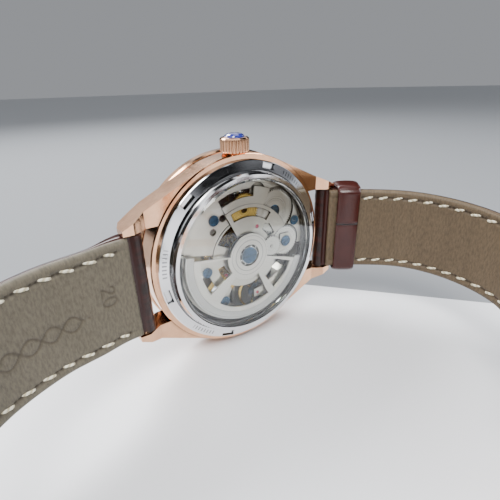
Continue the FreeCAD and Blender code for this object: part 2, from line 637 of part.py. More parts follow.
def spiral(inner, outer, turns, thick, floor, height):
    """A flat coil of strip, from an inner to an outer radius."""
    steps = 20 * turns
    sides = ([], [])
    for k in range(steps + 1):
        angle = 2 * math.pi * turns * k / steps
        radius = inner + (outer - thick - inner) * k / steps
        for side, extra in zip(sides, (0, thick)):
            side.append(Vector((radius + extra) * math.cos(angle), (radius + extra) * math.sin(angle), floor))
    ring = sides[0] + sides[1][::-1]
    return Part.Face(Part.makePolygon(ring + ring[:1])).extrude(Vector(0, 0, height))


def wheel_on_arbor(label, centre, turn, wheel, arbor):
    """A train wheel (count, module, floor) on its arbor (foot, head, radius)."""
    piece = body(label, at(*centre, turn))
    count, module, floor = wheel
    radius = module * count / 2
    teeth(piece, count, module, floor, SIZES["wheel_thick"])
    crossings(piece, 5, 0.28 * radius + 0.25, radius - 4 * module, floor)
    foot, head, thickness = arbor
    turned(piece, [(0, foot - 0.35), (0.1, foot - 0.35), (0.1, foot), (thickness, foot), (thickness, head),
                   (0.1, head), (0.1, head + 0.35), (0, head + 0.35)])
    return piece


def train_turns():
    """The turn of each wheel that puts the train in mesh at rest."""
    intermediate = 3.0
    barrel_turn = meshed(INTERMEDIATE, intermediate, INTERMEDIATE_PINION, BARREL, BARREL_TEETH)
    centre = meshed(INTERMEDIATE, intermediate, INTERMEDIATE_TEETH, CENTRE, CENTRE_DRIVE)
    third = meshed(CENTRE, centre, CENTRE_TEETH, THIRD, THIRD_PINION)
    fourth = meshed(THIRD, third, THIRD_TEETH, CENTRE, FOURTH_PINION)
    escape = meshed(CENTRE, fourth, FOURTH_TEETH, ESCAPE, ESCAPE_PINION)
    return barrel_turn, intermediate, centre, third, fourth, escape


BARREL_TURN, INTERMEDIATE_TURN, CENTRE_TURN, THIRD_TURN, FOURTH_TURN, ESCAPE_TURN = train_turns()


def train():
    module = 2 * span(CENTRE, INTERMEDIATE) / (INTERMEDIATE_TEETH + CENTRE_DRIVE)
    piece = wheel_on_arbor("intermediate_wheel", INTERMEDIATE, INTERMEDIATE_TURN,
                           (INTERMEDIATE_TEETH, module, DEPTHS["drive"]), (-3.87, -1.4, 0.3))
    teeth(piece, INTERMEDIATE_PINION, 2 * span(BARREL, INTERMEDIATE) / (BARREL_TEETH + INTERMEDIATE_PINION),
          -3.22, 0.47)

    wheel = body("centre_wheel", at(*CENTRE, CENTRE_TURN))
    teeth(wheel, CENTRE_DRIVE, module, DEPTHS["drive"], 0.2)
    disc(wheel, 0.9, DEPTHS["drive"], 0.4)
    reach = span(CENTRE, THIRD)
    teeth(wheel, CENTRE_TEETH, 2 * reach / (CENTRE_TEETH + THIRD_PINION), DEPTHS["centre"], 0.2)
    crossings(wheel, 5, 2.9, 4.9, DEPTHS["centre"] + 0.3)
    disc(wheel, 0.42, -5.25, 1.8)
    bore(wheel, 0.24)

    piece = wheel_on_arbor("third_wheel", THIRD, THIRD_TURN,
                             (THIRD_TEETH, 2 * reach / (THIRD_TEETH + FOURTH_PINION), DEPTHS["third"]),
                             (-3.87, -1.4, 0.22))
    teeth(piece, THIRD_PINION, 2 * reach / (CENTRE_TEETH + THIRD_PINION), DEPTHS["centre"] - 0.1, 0.45)

    module = 2 * span(CENTRE, ESCAPE) / (FOURTH_TEETH + ESCAPE_PINION)
    piece = wheel_on_arbor("fourth_wheel", CENTRE, FOURTH_TURN, (FOURTH_TEETH, module, DEPTHS["fourth"]),
                             (-7.5, -2.0, 0.18))
    teeth(piece, FOURTH_PINION, 2 * reach / (THIRD_TEETH + FOURTH_PINION), DEPTHS["third"] - 0.1, 0.4)

    wheel = body("escape_wheel", at(*ESCAPE, ESCAPE_TURN))
    disc(wheel, 2.0, DEPTHS["escape"], 0.18)
    gap = outline(sketch(wheel, depth=DEPTHS["escape"]), [(1.5, -0.16), (2.1, -0.3), (2.1, 0.2), (1.5, 0.2)])
    repeat(wheel, cut(wheel, gap, 0.6), ESCAPE_TEETH)
    crossings(wheel, 4, 0.8, 1.35, DEPTHS["escape"])
    turned(wheel, [(0, -4.35), (0.1, -4.35), (0.1, -3.95), (0.2, -3.95), (0.2, -1.4), (0.1, -1.4),
                   (0.1, -1.05), (0, -1.05)])
    teeth(wheel, ESCAPE_PINION, module, DEPTHS["fourth"] - 0.1, 0.35)


def escapement():
    heading = math.degrees(math.atan2(BALANCE[1] - PALLET[1], BALANCE[0] - PALLET[0]))
    fork = body("pallet_fork", at(*PALLET, heading))
    floor = -2.28
    arm = [(2.0, 0), (2.3, 0.14), (2.3, 0.3), (1.7, 0.12), (0.2, 0.25), (-0.1, 0.25), (-0.1, 1.35),
           (-0.6, 1.9), (-0.77, 1.67), (-0.45, 1.12), (-0.3, 0)]
    mirrored = [(x, -y) for x, y in arm[-2:0:-1]]
    pad(fork, outline(sketch(fork, depth=floor), arm + mirrored), 0.16)
    turned(fork, [(0, -4.35), (0.1, -4.35), (0.1, -4.0), (0.2, -4.0), (0.2, -2.0), (0.1, -2.0),
                  (0.1, -1.9), (0, -1.9)])

    balance = body("balance_wheel", at(*BALANCE, heading))
    disc(balance, 4.2, -1.9, 0.3)
    cut(balance, circle(sketch(balance), 3.75))
    bar = [(-3.9, -0.2), (3.9, -0.2), (3.9, 0.2), (-3.9, 0.2)]
    pad(balance, outline(sketch(balance, depth=-1.85), bar), 0.18)
    turned(balance, [(0, -4.35), (0.1, -4.35), (0.1, -3.95), (0.25, -3.95), (0.25, -2.5), (0.8, -2.5),
                     (0.8, -2.35), (0.4, -2.35), (0.4, -1.1), (0.1, -1.1), (0.1, -0.6), (0, -0.6)])
    pad(balance, circle(sketch(balance, depth=-2.6), 0.1, -0.65, 0), 0.2)
    solid("hairspring", spiral(0.5, 2.3, 8, 0.05, -1.15, 0.2), at(*BALANCE))


# ---------------------------------------------------------------- dial side

def dial():
    face = body("dial")
    disc(face, "dial_radius", "dial_front", "dial_back - dial_front")
    windows = sketch(face)
    for start in (12, 102, 192, 282):
        band(windows, 5.2, 11.2, start, start + 66)
    cut(face, windows)
    bore(face, 1.4)
    markers = []
    for hour in range(12):
        long_mark = 3.0 if hour % 3 == 0 else 2.2
        marker = Part.makeBox(long_mark, 0.7, 0.3, Vector(15.4 - long_mark, -0.35, SIZES["dial_front"] - 0.31))
        marker.rotate(Vector(0, 0, 0), Vector(0, 0, 1), 30 * hour)
        markers.append(marker)
    solid("hour_markers", Part.makeCompound(markers), WATCH)


def hand(label, length, width, tail, floor, hole, turn):
    """A tapered hand with a boss; it lies between the dial and the crystal."""
    piece = body(label, at(*CENTRE, turn))
    blade = [(-tail, -width * 0.3), (length * 0.55, -width / 2), (length, -0.06), (length, 0.06),
             (length * 0.55, width / 2), (-tail, width * 0.3)]
    pad(piece, outline(sketch(piece, depth=floor), blade), 0.16)
    disc(piece, hole + 0.55, floor, 0.22)
    bore(piece, hole)


def motion_works():
    module = 2 * span(CENTRE, MINUTE) / (CANNON_TEETH + MINUTE_TEETH)
    cannon = body("cannon_pinion", at(*CENTRE, 0))
    teeth(cannon, CANNON_TEETH, module, -4.9, 0.3)
    disc(cannon, 0.64, -6.85, 1.98)
    bore(cannon, 0.44)
    minute_turn = meshed(CENTRE, 0, CANNON_TEETH, MINUTE, MINUTE_TEETH)
    wheel = body("minute_wheel", at(*MINUTE, minute_turn))
    teeth(wheel, MINUTE_TEETH, module, -4.85, 0.2)
    module = 2 * span(CENTRE, MINUTE) / (MINUTE_PINION + HOUR_TEETH)
    teeth(wheel, MINUTE_PINION, module, -5.2, 0.36)
    bore(wheel, 0.2)
    hour = body("hour_wheel", at(*CENTRE, meshed(MINUTE, minute_turn, MINUTE_PINION, CENTRE, HOUR_TEETH)))
    teeth(hour, HOUR_TEETH, module, -5.18, 0.2)
    disc(hour, 1.05, -6.35, 1.3)
    bore(hour, 0.7)
    hand("hour_hand", 8.6, 1.1, 1.6, -6.3, 1.07, 145)
    hand("minute_hand", 13.2, 0.9, 2.0, -6.8, 0.66, 30)
    hand("seconds_hand", 14.4, 0.3, 4.0, -7.35, 0.2, 250)


# ---------------------------------------------------------------- strap

LONG_PATH = [(-23.2, 1.2), (-27.4, 0.9), (-31.6, -0.3), (-36.5, -1.4), (-41.7, -3.4), (-47.7, -6.8),
             (-53.2, -13.0), (-56.2, -22.0), (-56.8, -32.5), (-55.2, -43.0), (-51.0, -53.0), (-44.6, -62.0),
             (-36.4, -69.0), (-27.2, -74.5), (-17.6, -78.2)]
SHORT_PATH = [(23.2, 1.2), (27.2, -1.4), (31.0, -4.5), (37.0, -10.5), (40.5, -16.5), (42.3, -22.5),
              (42.8, -28.5), (41.8, -34.0), (39.0, -38.5), (34.2, -44.8), (27.5, -51.1), (19.4, -56.6)]


class StrapLine:
    """The middle line of a strap: a smooth curve that leaves the lug and sags to the table."""

    def __init__(self, path, sag, spread):
        self.curve = Part.BSplineCurve()
        self.curve.interpolate([Vector(x, y, 0) for x, y in path])
        self.length, self.sag, self.spread = self.curve.length(), sag, spread

    def drop(self, along):
        """How far the strap hangs below the spring bar's middle."""
        share = max(along - 14, 0) / self.spread
        whole = (self.length - 14) / self.spread
        return -self.sag * (1 - math.exp(-share ** 2)) / (1 - math.exp(-whole ** 2))

    def frame(self, along):
        """The point at a distance along the strap, with its heading and its outward side."""
        parameter = self.curve.parameterAtDistance(along, self.curve.FirstParameter)
        heading = self.curve.tangent(parameter)[0]
        side = Vector(heading.y, -heading.x, 0)
        if side.dot(Vector(math.copysign(1, self.curve.value(parameter).x), 0.4, 0)) < 0:
            side = side * -1
        return self.curve.value(parameter) + Vector(0, 0, self.drop(along)), heading, side


def strap_section(line, along, width, inner, outer):
    """A rectangle across the strap, from its inner to its outer side."""
    centre, _, side = line.frame(along)
    corners = [centre + side * depth + Vector(0, 0, up * width / 2)
               for depth, up in ((-inner, -1), (outer, -1), (outer, 1), (-inner, 1))]
    return Part.makePolygon(corners + corners[:1])


def strap_thickness(share):
    """Half the strap's thickness: padded at the lugs and thinner towards its end."""
    root, tip = number("strap_root"), number("strap_thick")
    return (tip + (root - tip) * max(0, 1 - share * 1.6) ** 1.5) / 2


def strap_width(along):
    """The strap's width: it narrows from the lugs over the taper's length, and then stays even."""
    width, tip_width = number("strap_width"), number("strap_tip_width")
    return width + (tip_width - width) * min(1, along / number("strap_taper"))


def strap_blank(line, end, count):
    wires = []
    for k in range(count):
        along = end * k / (count - 1)
        half = strap_thickness(along / line.length)
        wires.append(strap_section(line, along, strap_width(along), half, half))
    return Part.makeLoft(wires, True, False)


def spring_bar_eye(line):
    """The rounded strap end round the spring bar."""
    bar = line.curve.value(line.curve.FirstParameter)
    width = number("strap_width")
    eye = Part.makeCylinder(strap_thickness(0), width, bar - Vector(0, 0, width / 2))
    return eye, Part.makeCylinder(number("bar_radius") + 0.05, 30, bar - Vector(0, 0, 15))


def strap_long():
    line = StrapLine(LONG_PATH, 12.2, 62)
    blank = strap_blank(line, line.length, 30)
    eye, hole = spring_bar_eye(line)
    blank = blank.fuse(eye).cut(hole)
    for k in range(7):
        centre, _, side = line.frame(line.length - 22 - 6.5 * k)
        blank = blank.cut(Part.makeCylinder(0.95, 8, centre - side * 4, side))
    solid("strap_long", blank)


def buckle_frame_at(line):
    """The placement of the buckle: x along the strap, y across its thickness, z along its bar."""
    centre, heading, side = line.frame(line.length)
    return Placement(centre, Rotation(heading, side, Vector(0, 0, 1), "XZY"))


def strap_short():
    line = StrapLine(SHORT_PATH, 9.6, 95)
    blank = strap_blank(line, line.length - 1.2, 24)
    eye, hole = spring_bar_eye(line)
    place = buckle_frame_at(line)
    tongue_slot = Part.makeBox(9, 8, 3.4, Vector(-6.5, -4, -1.7))
    end_hole = Part.makeCylinder(0.8, 30, Vector(0, 0, -15))
    end_eye = Part.makeCylinder(1.5, 17.9, Vector(0, 0, -8.95))
    for piece in (tongue_slot, end_hole, end_eye):
        piece.Placement = place
    blank = blank.fuse(eye).fuse(end_eye).cut(hole).cut(end_hole).cut(tongue_slot)
    loop = keeper_loop(line, line.length - 13, 5.0, 0.9, 0.4)
    solid("strap_short", Part.makeCompound([blank, loop]))
    return line, place


def keeper_loop(line, along, wide, thick, clear):
    """A leather loop round both thicknesses of the buckled strap."""
    shells = []
    half = strap_thickness(along / line.length)
    width = strap_width(along)
    for grow in (clear, clear + thick):
        wires = [strap_section(line, along + step, width + 2 * grow, half + grow, half + grow + 0.9)
                 for step in (-wide / 2, 0, wide / 2)]
        shells.append(Part.makeLoft(wires, True, False))
    return shells[1].cut(shells[0])


def buckle(place):
    frame = Part.makeBox(12.6, 2.0, 23.4, Vector(-0.6, -1.0, -11.7))
    frame = frame.cut(Part.makeBox(10.6, 6, 19.2, Vector(-2.4, -3, -9.6)))
    ears = [Part.makeCylinder(1.5, 2.1, Vector(0, 0, z)) for z in (-11.7, 9.6)]
    frame = frame.fuse(ears[0]).fuse(ears[1]).cut(Part.makeCylinder(0.45, 21.4, Vector(0, 0, -10.7)))
    solid("buckle_frame", frame, place)
    tongue = Part.makeBox(11.6, 1.0, 2.2, Vector(0.2, 1.06, -1.1))
    tongue = tongue.fuse(Part.makeCylinder(1.4, 2.6, Vector(0, 0, -1.3)))
    tongue = tongue.cut(Part.makeCylinder(0.8, 6, Vector(0, 0, -3)))
    solid("buckle_tongue", tongue, place)
    bar = Part.makeCylinder(0.75, 18.3, Vector(0, 0, -9.15))
    solid("buckle_spring_bar", bar.fuse(Part.makeCylinder(0.4, 21.0, Vector(0, 0, -10.5))), place)


def strap_pieces():
    strap_long()
    line, place = strap_short()
    solid("floating_keeper", keeper_loop(line, 5.4, 5.5, 0.9, 0.25))
    buckle(place)


# ---------------------------------------------------------------- build, check, export

for make in (case_middle, bezel, crystal, caseback, lug_spring_bars, crown, keyless_works, winding_wheels,
             movement_ring, main_plate, barrel_bridge, train_bridge, balance_bridges, automatic_bridge, screws,
             jewels, rotor, reverser_wheel, barrel, train, escapement, dial, motion_works, strap_pieces):
    make()
doc.recompute()
for item in doc.Objects:
    if "Invalid" in item.State or "Error" in item.State:
        raise ValueError(f"{item.Label} failed: {item.State}")
for piece in parts:
    if piece.Shape.isNull() or not piece.Shape.isValid():
        raise ValueError(f"{piece.Label} has no valid shape")
os.makedirs("parts", exist_ok=True)
for piece in parts:
    piece.Shape.exportStep(f"parts/{piece.Label}.step")
print(len(parts), "sub-parts written")
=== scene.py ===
import math

import bmesh
import bpy
import numpy as np
from mathutils import Matrix, Vector


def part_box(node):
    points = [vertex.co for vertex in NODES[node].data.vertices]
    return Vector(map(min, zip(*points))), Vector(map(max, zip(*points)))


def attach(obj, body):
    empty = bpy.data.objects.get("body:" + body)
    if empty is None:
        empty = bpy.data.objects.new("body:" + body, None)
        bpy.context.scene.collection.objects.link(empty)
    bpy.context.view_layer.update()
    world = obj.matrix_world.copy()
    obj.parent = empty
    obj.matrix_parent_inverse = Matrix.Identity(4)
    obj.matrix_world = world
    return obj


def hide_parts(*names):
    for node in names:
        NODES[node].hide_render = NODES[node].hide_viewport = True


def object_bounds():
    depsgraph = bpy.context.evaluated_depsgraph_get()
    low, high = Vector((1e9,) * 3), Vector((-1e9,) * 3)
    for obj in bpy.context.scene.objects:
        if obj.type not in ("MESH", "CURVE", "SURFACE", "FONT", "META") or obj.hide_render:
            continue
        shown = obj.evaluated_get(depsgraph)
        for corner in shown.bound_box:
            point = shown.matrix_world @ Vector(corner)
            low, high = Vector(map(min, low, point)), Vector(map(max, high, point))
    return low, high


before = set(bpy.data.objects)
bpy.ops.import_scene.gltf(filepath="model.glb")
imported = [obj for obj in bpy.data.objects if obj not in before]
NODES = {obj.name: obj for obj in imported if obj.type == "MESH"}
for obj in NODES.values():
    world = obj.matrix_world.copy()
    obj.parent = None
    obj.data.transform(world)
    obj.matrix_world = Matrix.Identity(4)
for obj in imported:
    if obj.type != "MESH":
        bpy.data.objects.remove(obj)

CAD_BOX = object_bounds()
MM = 0.001


# ---------------------------------------------------------------- camera, light and stage

CAMERA_PLACE = (-38.56, -58.01, 32.23)
CAMERA_BACK = (-0.512, -0.754, 0.411)
CAMERA_UP = (0.254, 0.324, 0.911)
SENSOR_WIDTH = 36
LENS = 26.18
CLIP_START = 0.001

ROOM_BY_HEIGHT = [(0.30, (0.34, 0.35, 0.37)), (0.46, (0.08, 0.08, 0.09)), (0.60, (0.26, 0.27, 0.29)),
                  (0.80, (0.95, 0.97, 1.0))]
ROOM_SEEN = (0.31, 0.32, 0.34, 1)
PATCH_SCALE = 2.1
PATCH_EDGE = (0.46, 0.54)
PATCH_STRENGTH = (0.02, 1.6)

SHEET_FAR_EDGE = [(-0.90, 0.638), (-0.40, 0.300), (-0.0473, 0.0611), (0.0258, 0.0111), (0.20, -0.190),
                  (0.62, -0.675)]
SHEET_FRONT = [(0.62, -1.2), (-1.2, -1.2), (-1.2, 0.638)]
SHEET_COLOUR, SHEET_ROUGH = (0.74, 0.75, 0.78), 0.4
TABLE_REACH = 4
TABLE_COLOUR, TABLE_ROUGH = (0.20, 0.21, 0.225), 0.8
SHEET_GAP = 0.00002
SHEET_THICK = 0.0001


def add_camera():
    """A camera close behind the watch, above and to the left of the case."""
    back = Vector(CAMERA_BACK).normalized()
    up = Vector(CAMERA_UP).normalized()
    right = up.cross(back).normalized()
    up = back.cross(right)
    data = bpy.data.cameras.new("camera")
    data.sensor_width = SENSOR_WIDTH
    data.lens = LENS
    data.clip_start = CLIP_START
    camera = bpy.data.objects.new("camera", data)
    turn = Matrix((right, up, back)).transposed().to_4x4()
    camera.matrix_world = Matrix.Translation(Vector(CAMERA_PLACE) * MM) @ turn
    bpy.context.scene.collection.objects.link(camera)
    bpy.context.scene.camera = camera


def add_light(name, place, size, power, colour):
    """A soft rectangular lamp that points at the watch."""
    data = bpy.data.lights.new(name, "AREA")
    data.shape = "RECTANGLE"
    data.size, data.size_y = size
    data.energy = power
    data.color = colour
    light = bpy.data.objects.new(name, data)
    light.location = place
    light.rotation_euler = (-Vector(place)).to_track_quat("-Z", "Y").to_euler()
    bpy.context.scene.collection.objects.link(light)


def add_world():
    """A dim room under a bright ceiling: patchy in reflections, plain grey where it is seen itself."""
    world = bpy.data.worlds.new("room")
    bpy.context.scene.world = world
    world.use_nodes = True
    tree = world.node_tree
    tree.nodes.clear()

    def add(kind, **values):
        made = tree.nodes.new("ShaderNode" + kind)
        for name, value in values.items():
            made.inputs[name.replace("_", " ")].default_value = value
        return made

    place = add("TexCoord")
    parts = add("SeparateXYZ")
    tree.links.new(place.outputs["Generated"], parts.inputs[0])
    half = add("Math")
    half.operation = "MULTIPLY_ADD"
    half.inputs[1].default_value = half.inputs[2].default_value = 0.5
    tree.links.new(parts.outputs["Z"], half.inputs[0])
    ramp = add("ValToRGB")
    elements = ramp.color_ramp.elements
    while len(elements) < len(ROOM_BY_HEIGHT):
        elements.new(0.5)
    for element, (position, colour) in zip(elements, ROOM_BY_HEIGHT):
        element.position = position
        element.color = (*colour, 1)
    tree.links.new(half.outputs[0], ramp.inputs[0])

    patches = add("TexNoise", Scale=PATCH_SCALE, Detail=0.5)
    tree.links.new(place.outputs["Generated"], patches.inputs["Vector"])
    share = add("MapRange", From_Min=PATCH_EDGE[0], From_Max=PATCH_EDGE[1], To_Min=PATCH_STRENGTH[0],
                To_Max=PATCH_STRENGTH[1])
    share.interpolation_type = "SMOOTHSTEP"
    tree.links.new(patches.outputs["Fac"], share.inputs["Value"])
    reflected = add("Background")
    tree.links.new(ramp.outputs[0], reflected.inputs["Color"])
    tree.links.new(share.outputs[0], reflected.inputs["Strength"])

    choice = add("MixShader")
    tree.links.new(add("LightPath").outputs["Is Camera Ray"], choice.inputs["Fac"])
    tree.links.new(reflected.outputs[0], choice.inputs[1])
    tree.links.new(add("Background", Color=ROOM_SEEN).outputs[0], choice.inputs[2])
    tree.links.new(choice.outputs[0], add("OutputWorld").inputs[0])


def stage_plane(name, corners, height, colour, rough):
    mesh = bpy.data.meshes.new(name)
    mesh.from_pydata([(x, y, height) for x, y in corners], [], [tuple(range(len(corners)))])
    stage = bpy.data.objects.new(name, mesh)
    bpy.context.scene.collection.objects.link(stage)
    material = bpy.data.materials.new(name)
    material.use_nodes = True
    shader = material.node_tree.nodes["Principled BSDF"]
    shader.inputs["Base Color"].default_value = (*colour, 1)
    shader.inputs["Roughness"].default_value = rough
    mesh.materials.append(material)


def add_stage():
    """A pale sheet in front of and under the watch, lying on a wide grey table."""
    floor_z = CAD_BOX[0][2] - SHEET_GAP
    stage_plane("sheet", SHEET_FAR_EDGE + SHEET_FRONT, floor_z, SHEET_COLOUR, SHEET_ROUGH)
    reach = TABLE_REACH
    stage_plane("table", [(-reach, -reach), (reach, -reach), (reach, reach), (-reach, reach)],
                floor_z - SHEET_THICK, TABLE_COLOUR, TABLE_ROUGH)


# ---------------------------------------------------------------- materials

class Finish:
    """A principled material that is added to step by step."""

    def __init__(self, name, colour, rough, metal=0.0, **sockets):
        self.material = bpy.data.materials.new(name)
        self.material.use_nodes = True
        self.tree = self.material.node_tree
        self.shader = self.tree.nodes["Principled BSDF"]
        self.shader.inputs["Base Color"].default_value = (*colour, 1)
        self.shader.inputs["Roughness"].default_value = rough
        self.shader.inputs["Metallic"].default_value = metal
        for socket, value in sockets.items():
            self.shader.inputs[socket.replace("_", " ")].default_value = value
        self.place = self.tree.nodes.new("ShaderNodeTexCoord").outputs["Object"]
        self.height = None

    def node(self, kind, **values):
        made = self.tree.nodes.new("ShaderNode" + kind)
        for name, value in values.items():
            if name in made.inputs:
                made.inputs[name].default_value = value
            else:
                setattr(made, name, value)
        return made

    def link(self, start, end):
        self.tree.links.new(start, end)

    def stretched(self, scale, place):
        """Coordinates in units of 1/scale, one factor for each axis."""
        mapping = self.node("Mapping")
        mapping.inputs["Scale"].default_value = scale
        self.link(place, mapping.inputs["Vector"])
        return mapping.outputs[0]

    def noise(self, scale, detail=4.0, rough=0.55, place=None):
        made = self.node("TexNoise", Scale=scale, Detail=detail, Roughness=rough)
        self.link(place or self.place, made.inputs["Vector"])
        return made.outputs["Fac"]

    def ramp(self, value, stops):
        made = self.node("ValToRGB")
        elements = made.color_ramp.elements
        while len(elements) < len(stops):
            elements.new(0.5)
        for element, (position, colour) in zip(elements, stops):
            element.position = position
            element.color = (*colour, 1)
        self.link(value, made.inputs[0])
        return made.outputs[0]

    def spread(self, value, low, high, socket):
        """Feed a 0 to 1 value to a shader socket, as low to high."""
        made = self.node("MapRange")
        made.inputs["To Min"].default_value = low
        made.inputs["To Max"].default_value = high
        self.link(value, made.inputs["Value"])
        self.link(made.outputs[0], self.shader.inputs[socket])

    def bump(self, value, depth, strength=1.0):
        made = self.node("Bump", Strength=strength, Distance=depth)
        self.link(value, made.inputs["Height"])
        if self.height is not None:
            self.link(self.height, made.inputs["Normal"])
        self.link(made.outputs[0], self.shader.inputs["Normal"])
        self.height = made.outputs[0]

    def colour(self, value):
        self.link(value, self.shader.inputs["Base Color"])


# How far the painted shade in metals' recesses reaches: on most metals, and on the nickel plates.
SHADE_REACH = 0.0005
PLATE_SHADE_REACH = 0.0009
METAL_GRAIN = 3000.0
# Painted shade for the rotor's grooves: how strongly it darkens, its colour, and the grooves' radii and half
# widths.
GROOVE_SHADE_SHARE = 0.6
GROOVE_SHADE_COLOUR = (0.10, 0.10, 0.10, 1)
ROTOR_GROOVES = ((0.0034, 0.00007), (0.0043, 0.00004))
RING_TONE = (0.76, 0.76, 0.77)
TICKS_ROUND, TICK_HALF_WIDTH = 150, 0.17
TICK_ROWS, TICK_ROW_START, TICK_ROW_SHARE = 6, 5.3, 0.30
TICK_RADIUS, TICK_HALF_LENGTH = 0.01845, 0.00042


def grey(value):
    return (value, value, value)


def shaded(made, colour, reach, floor=0.05, alone=True):
    """Paint shade into a metal's colour: darker in recesses, slots and crevices, its own or all of them."""
    occlusion_shade = made.node("AmbientOcclusion", Distance=reach, only_local=alone, samples=6)
    tone = made.node("Mix", data_type="RGBA", blend_type="MULTIPLY")
    tone.inputs["Factor"].default_value = 1.0
    made.link(colour, tone.inputs["A"])
    made.link(made.ramp(occlusion_shade.outputs["AO"], [(0.5, grey(floor)), (0.93, grey(1.0))]), tone.inputs["B"])
    made.colour(tone.outputs["Result"])


def from_axis(made, centre=(0.0, 0.0)):
    """The distance of a point from an axis along y."""
    offset = made.node("Mapping")
    offset.inputs["Location"].default_value = (-centre[0], 0, -centre[1])
    offset.inputs["Scale"].default_value = (1, 0, 1)
    made.link(made.place, offset.inputs["Vector"])
    length = made.node("VectorMath", operation="LENGTH")
    made.link(offset.outputs[0], length.inputs[0])
    return length.outputs["Value"]


def calculate(made, operation, *values):
    step = made.node("Math", operation=operation)
    for socket, value in zip(step.inputs, values):
        if isinstance(value, (int, float)):
            socket.default_value = value
        else:
            made.link(value, socket)
    return step.outputs[0]


def rose_gold():
    made = Finish("rose_gold", (0.80, 0.46, 0.27), 0.12, 1.0)
    tint = made.noise(350.0, 3.0)
    # Painted shade in the gold's crevices.
    shaded(made, made.ramp(tint, [(0.35, (0.74, 0.41, 0.24)), (0.65, (0.83, 0.49, 0.30))]), 0.0008, 0.06)
    made.spread(made.noise(900.0, 5.0), 0.06, 0.16, "Roughness")
    made.bump(made.noise(2500.0, 2.0), 0.000004)
    return made.material


def polished_steel():
    made = Finish("polished_steel", (0.72, 0.72, 0.73), 0.1, 1.0)
    # Painted shade in the steel's crevices.
    shaded(made, made.ramp(made.noise(500.0, 2.0), [(0.3, grey(0.68)), (0.7, grey(0.76))]), 0.0004)
    made.spread(made.noise(1200.0, 5.0), 0.06, 0.16, "Roughness")
    made.bump(made.noise(2600.0, 2.0), 0.000003)
    return made.material


def nickel(name, tone):
    """Frosted nickel plating: a fine even grain, with painted shade in its recesses."""
    made = Finish(name, tone, 0.38, 1.0)
    stops = [(0.3, tuple(c * 0.92 for c in tone)), (0.7, tuple(min(1, c * 1.06) for c in tone))]
    shaded(made, made.ramp(made.noise(260.0, 3.0), stops), PLATE_SHADE_REACH, alone=False)
    made.spread(made.noise(4000.0, 3.0), 0.26, 0.42, "Roughness")
    made.bump(made.noise(9000.0, 2.0), 0.000004)
    return made.material


def turned_metal(name, tone, rough, centre=(0.0, 0.0), depth=0.000005, rings=5200.0, grooves=(),
                 alone=True):
    """Metal with the fine rings that a lathe or a circular brush leaves round a centre."""
    made = Finish(name, tone, rough, 1.0)
    distance = from_axis(made, centre)
    ring = made.node("TexNoise", noise_dimensions="1D", Scale=rings, Detail=3.0)
    made.link(distance, ring.inputs["W"])
    stops = [(0.3, tuple(c * 0.93 for c in tone)), (0.7, tuple(min(1, c * 1.05) for c in tone))]
    colour = made.ramp(ring.outputs["Fac"], stops)
    # Darker rings at the grooves' radii: painted shade, as the grooves have no relief of their own.
    for radius, width in grooves:
        line = calculate(made, "COMPARE", distance, radius, width)
        mixed = made.node("Mix", data_type="RGBA")
        made.link(calculate(made, "MULTIPLY", line, GROOVE_SHADE_SHARE), mixed.inputs["Factor"])
        made.link(colour, mixed.inputs["A"])
        mixed.inputs["B"].default_value = GROOVE_SHADE_COLOUR
        colour = mixed.outputs["Result"]
    # Painted shade in recesses, from this piece alone or from all pieces.
    shaded(made, colour, SHADE_REACH, alone=alone)
    made.spread(ring.outputs["Fac"], rough * 0.75, rough * 1.25, "Roughness")
    made.bump(ring.outputs["Fac"], depth)
    return made.material


def engraved_ring():
    """The polished case-back ring, with rows of short engraved ticks between its notches."""
    made = Finish("ring_steel", RING_TONE, 0.1, 1.0)
    distance = from_axis(made)
    parts = made.node("SeparateXYZ")
    made.link(made.place, parts.inputs[0])
    angle = calculate(made, "ARCTAN2", parts.outputs["Z"], parts.outputs["X"])
    ticks = calculate(made, "MULTIPLY", angle, TICKS_ROUND / (2 * math.pi))
    tick = calculate(made, "FRACT", ticks)
    tick = calculate(made, "COMPARE", tick, 0.5, TICK_HALF_WIDTH)
    arcs = calculate(made, "MULTIPLY_ADD", angle, TICK_ROWS / (2 * math.pi), TICK_ROW_START)
    arc = calculate(made, "FRACT", arcs)
    arc = calculate(made, "COMPARE", arc, 0.0, TICK_ROW_SHARE)
    row = calculate(made, "COMPARE", distance, TICK_RADIUS, TICK_HALF_LENGTH)
    mark = calculate(made, "MULTIPLY", calculate(made, "MULTIPLY", tick, arc), row)
    cut = made.node("Mix", data_type="RGBA")
    made.link(calculate(made, "MULTIPLY", mark, 0.75), cut.inputs["Factor"])
    cut.inputs["A"].default_value = (*RING_TONE, 1)
    cut.inputs["B"].default_value = (0.12, 0.12, 0.13, 1)
    # Painted shade in the ring's crevices.
    shaded(made, cut.outputs["Result"], 0.0004, 0.12)
    made.spread(made.noise(1200.0, 5.0), 0.05, 0.14, "Roughness")
    made.bump(calculate(made, "SUBTRACT", 1.0, mark), 0.00004)
    made.bump(made.noise(2600.0, 2.0), 0.000003)
    return made.material


def plain_metal(name, tone, rough):
    """Metal with an even fine grain."""
    made = Finish(name, tone, rough, 1.0)
    stops = [(0.3, tuple(c * 0.9 for c in tone)), (0.7, tuple(min(1, c * 1.08) for c in tone))]
    # Painted shade in the metal's crevices.
    shaded(made, made.ramp(made.noise(700.0, 3.0), stops), SHADE_REACH)
    made.spread(made.noise(METAL_GRAIN, 4.0), rough * 0.75, rough * 1.3, "Roughness")
    made.bump(made.noise(METAL_GRAIN * 2, 2.0), 0.000003)
    return made.material


def clear_glass(name, tint):
    made = Finish(name, tint, 0.0, 0.0, IOR=1.5, Transmission_Weight=1.0)
    made.spread(made.noise(600.0, 2.0), 0.0, 0.015, "Roughness")
    return made.material


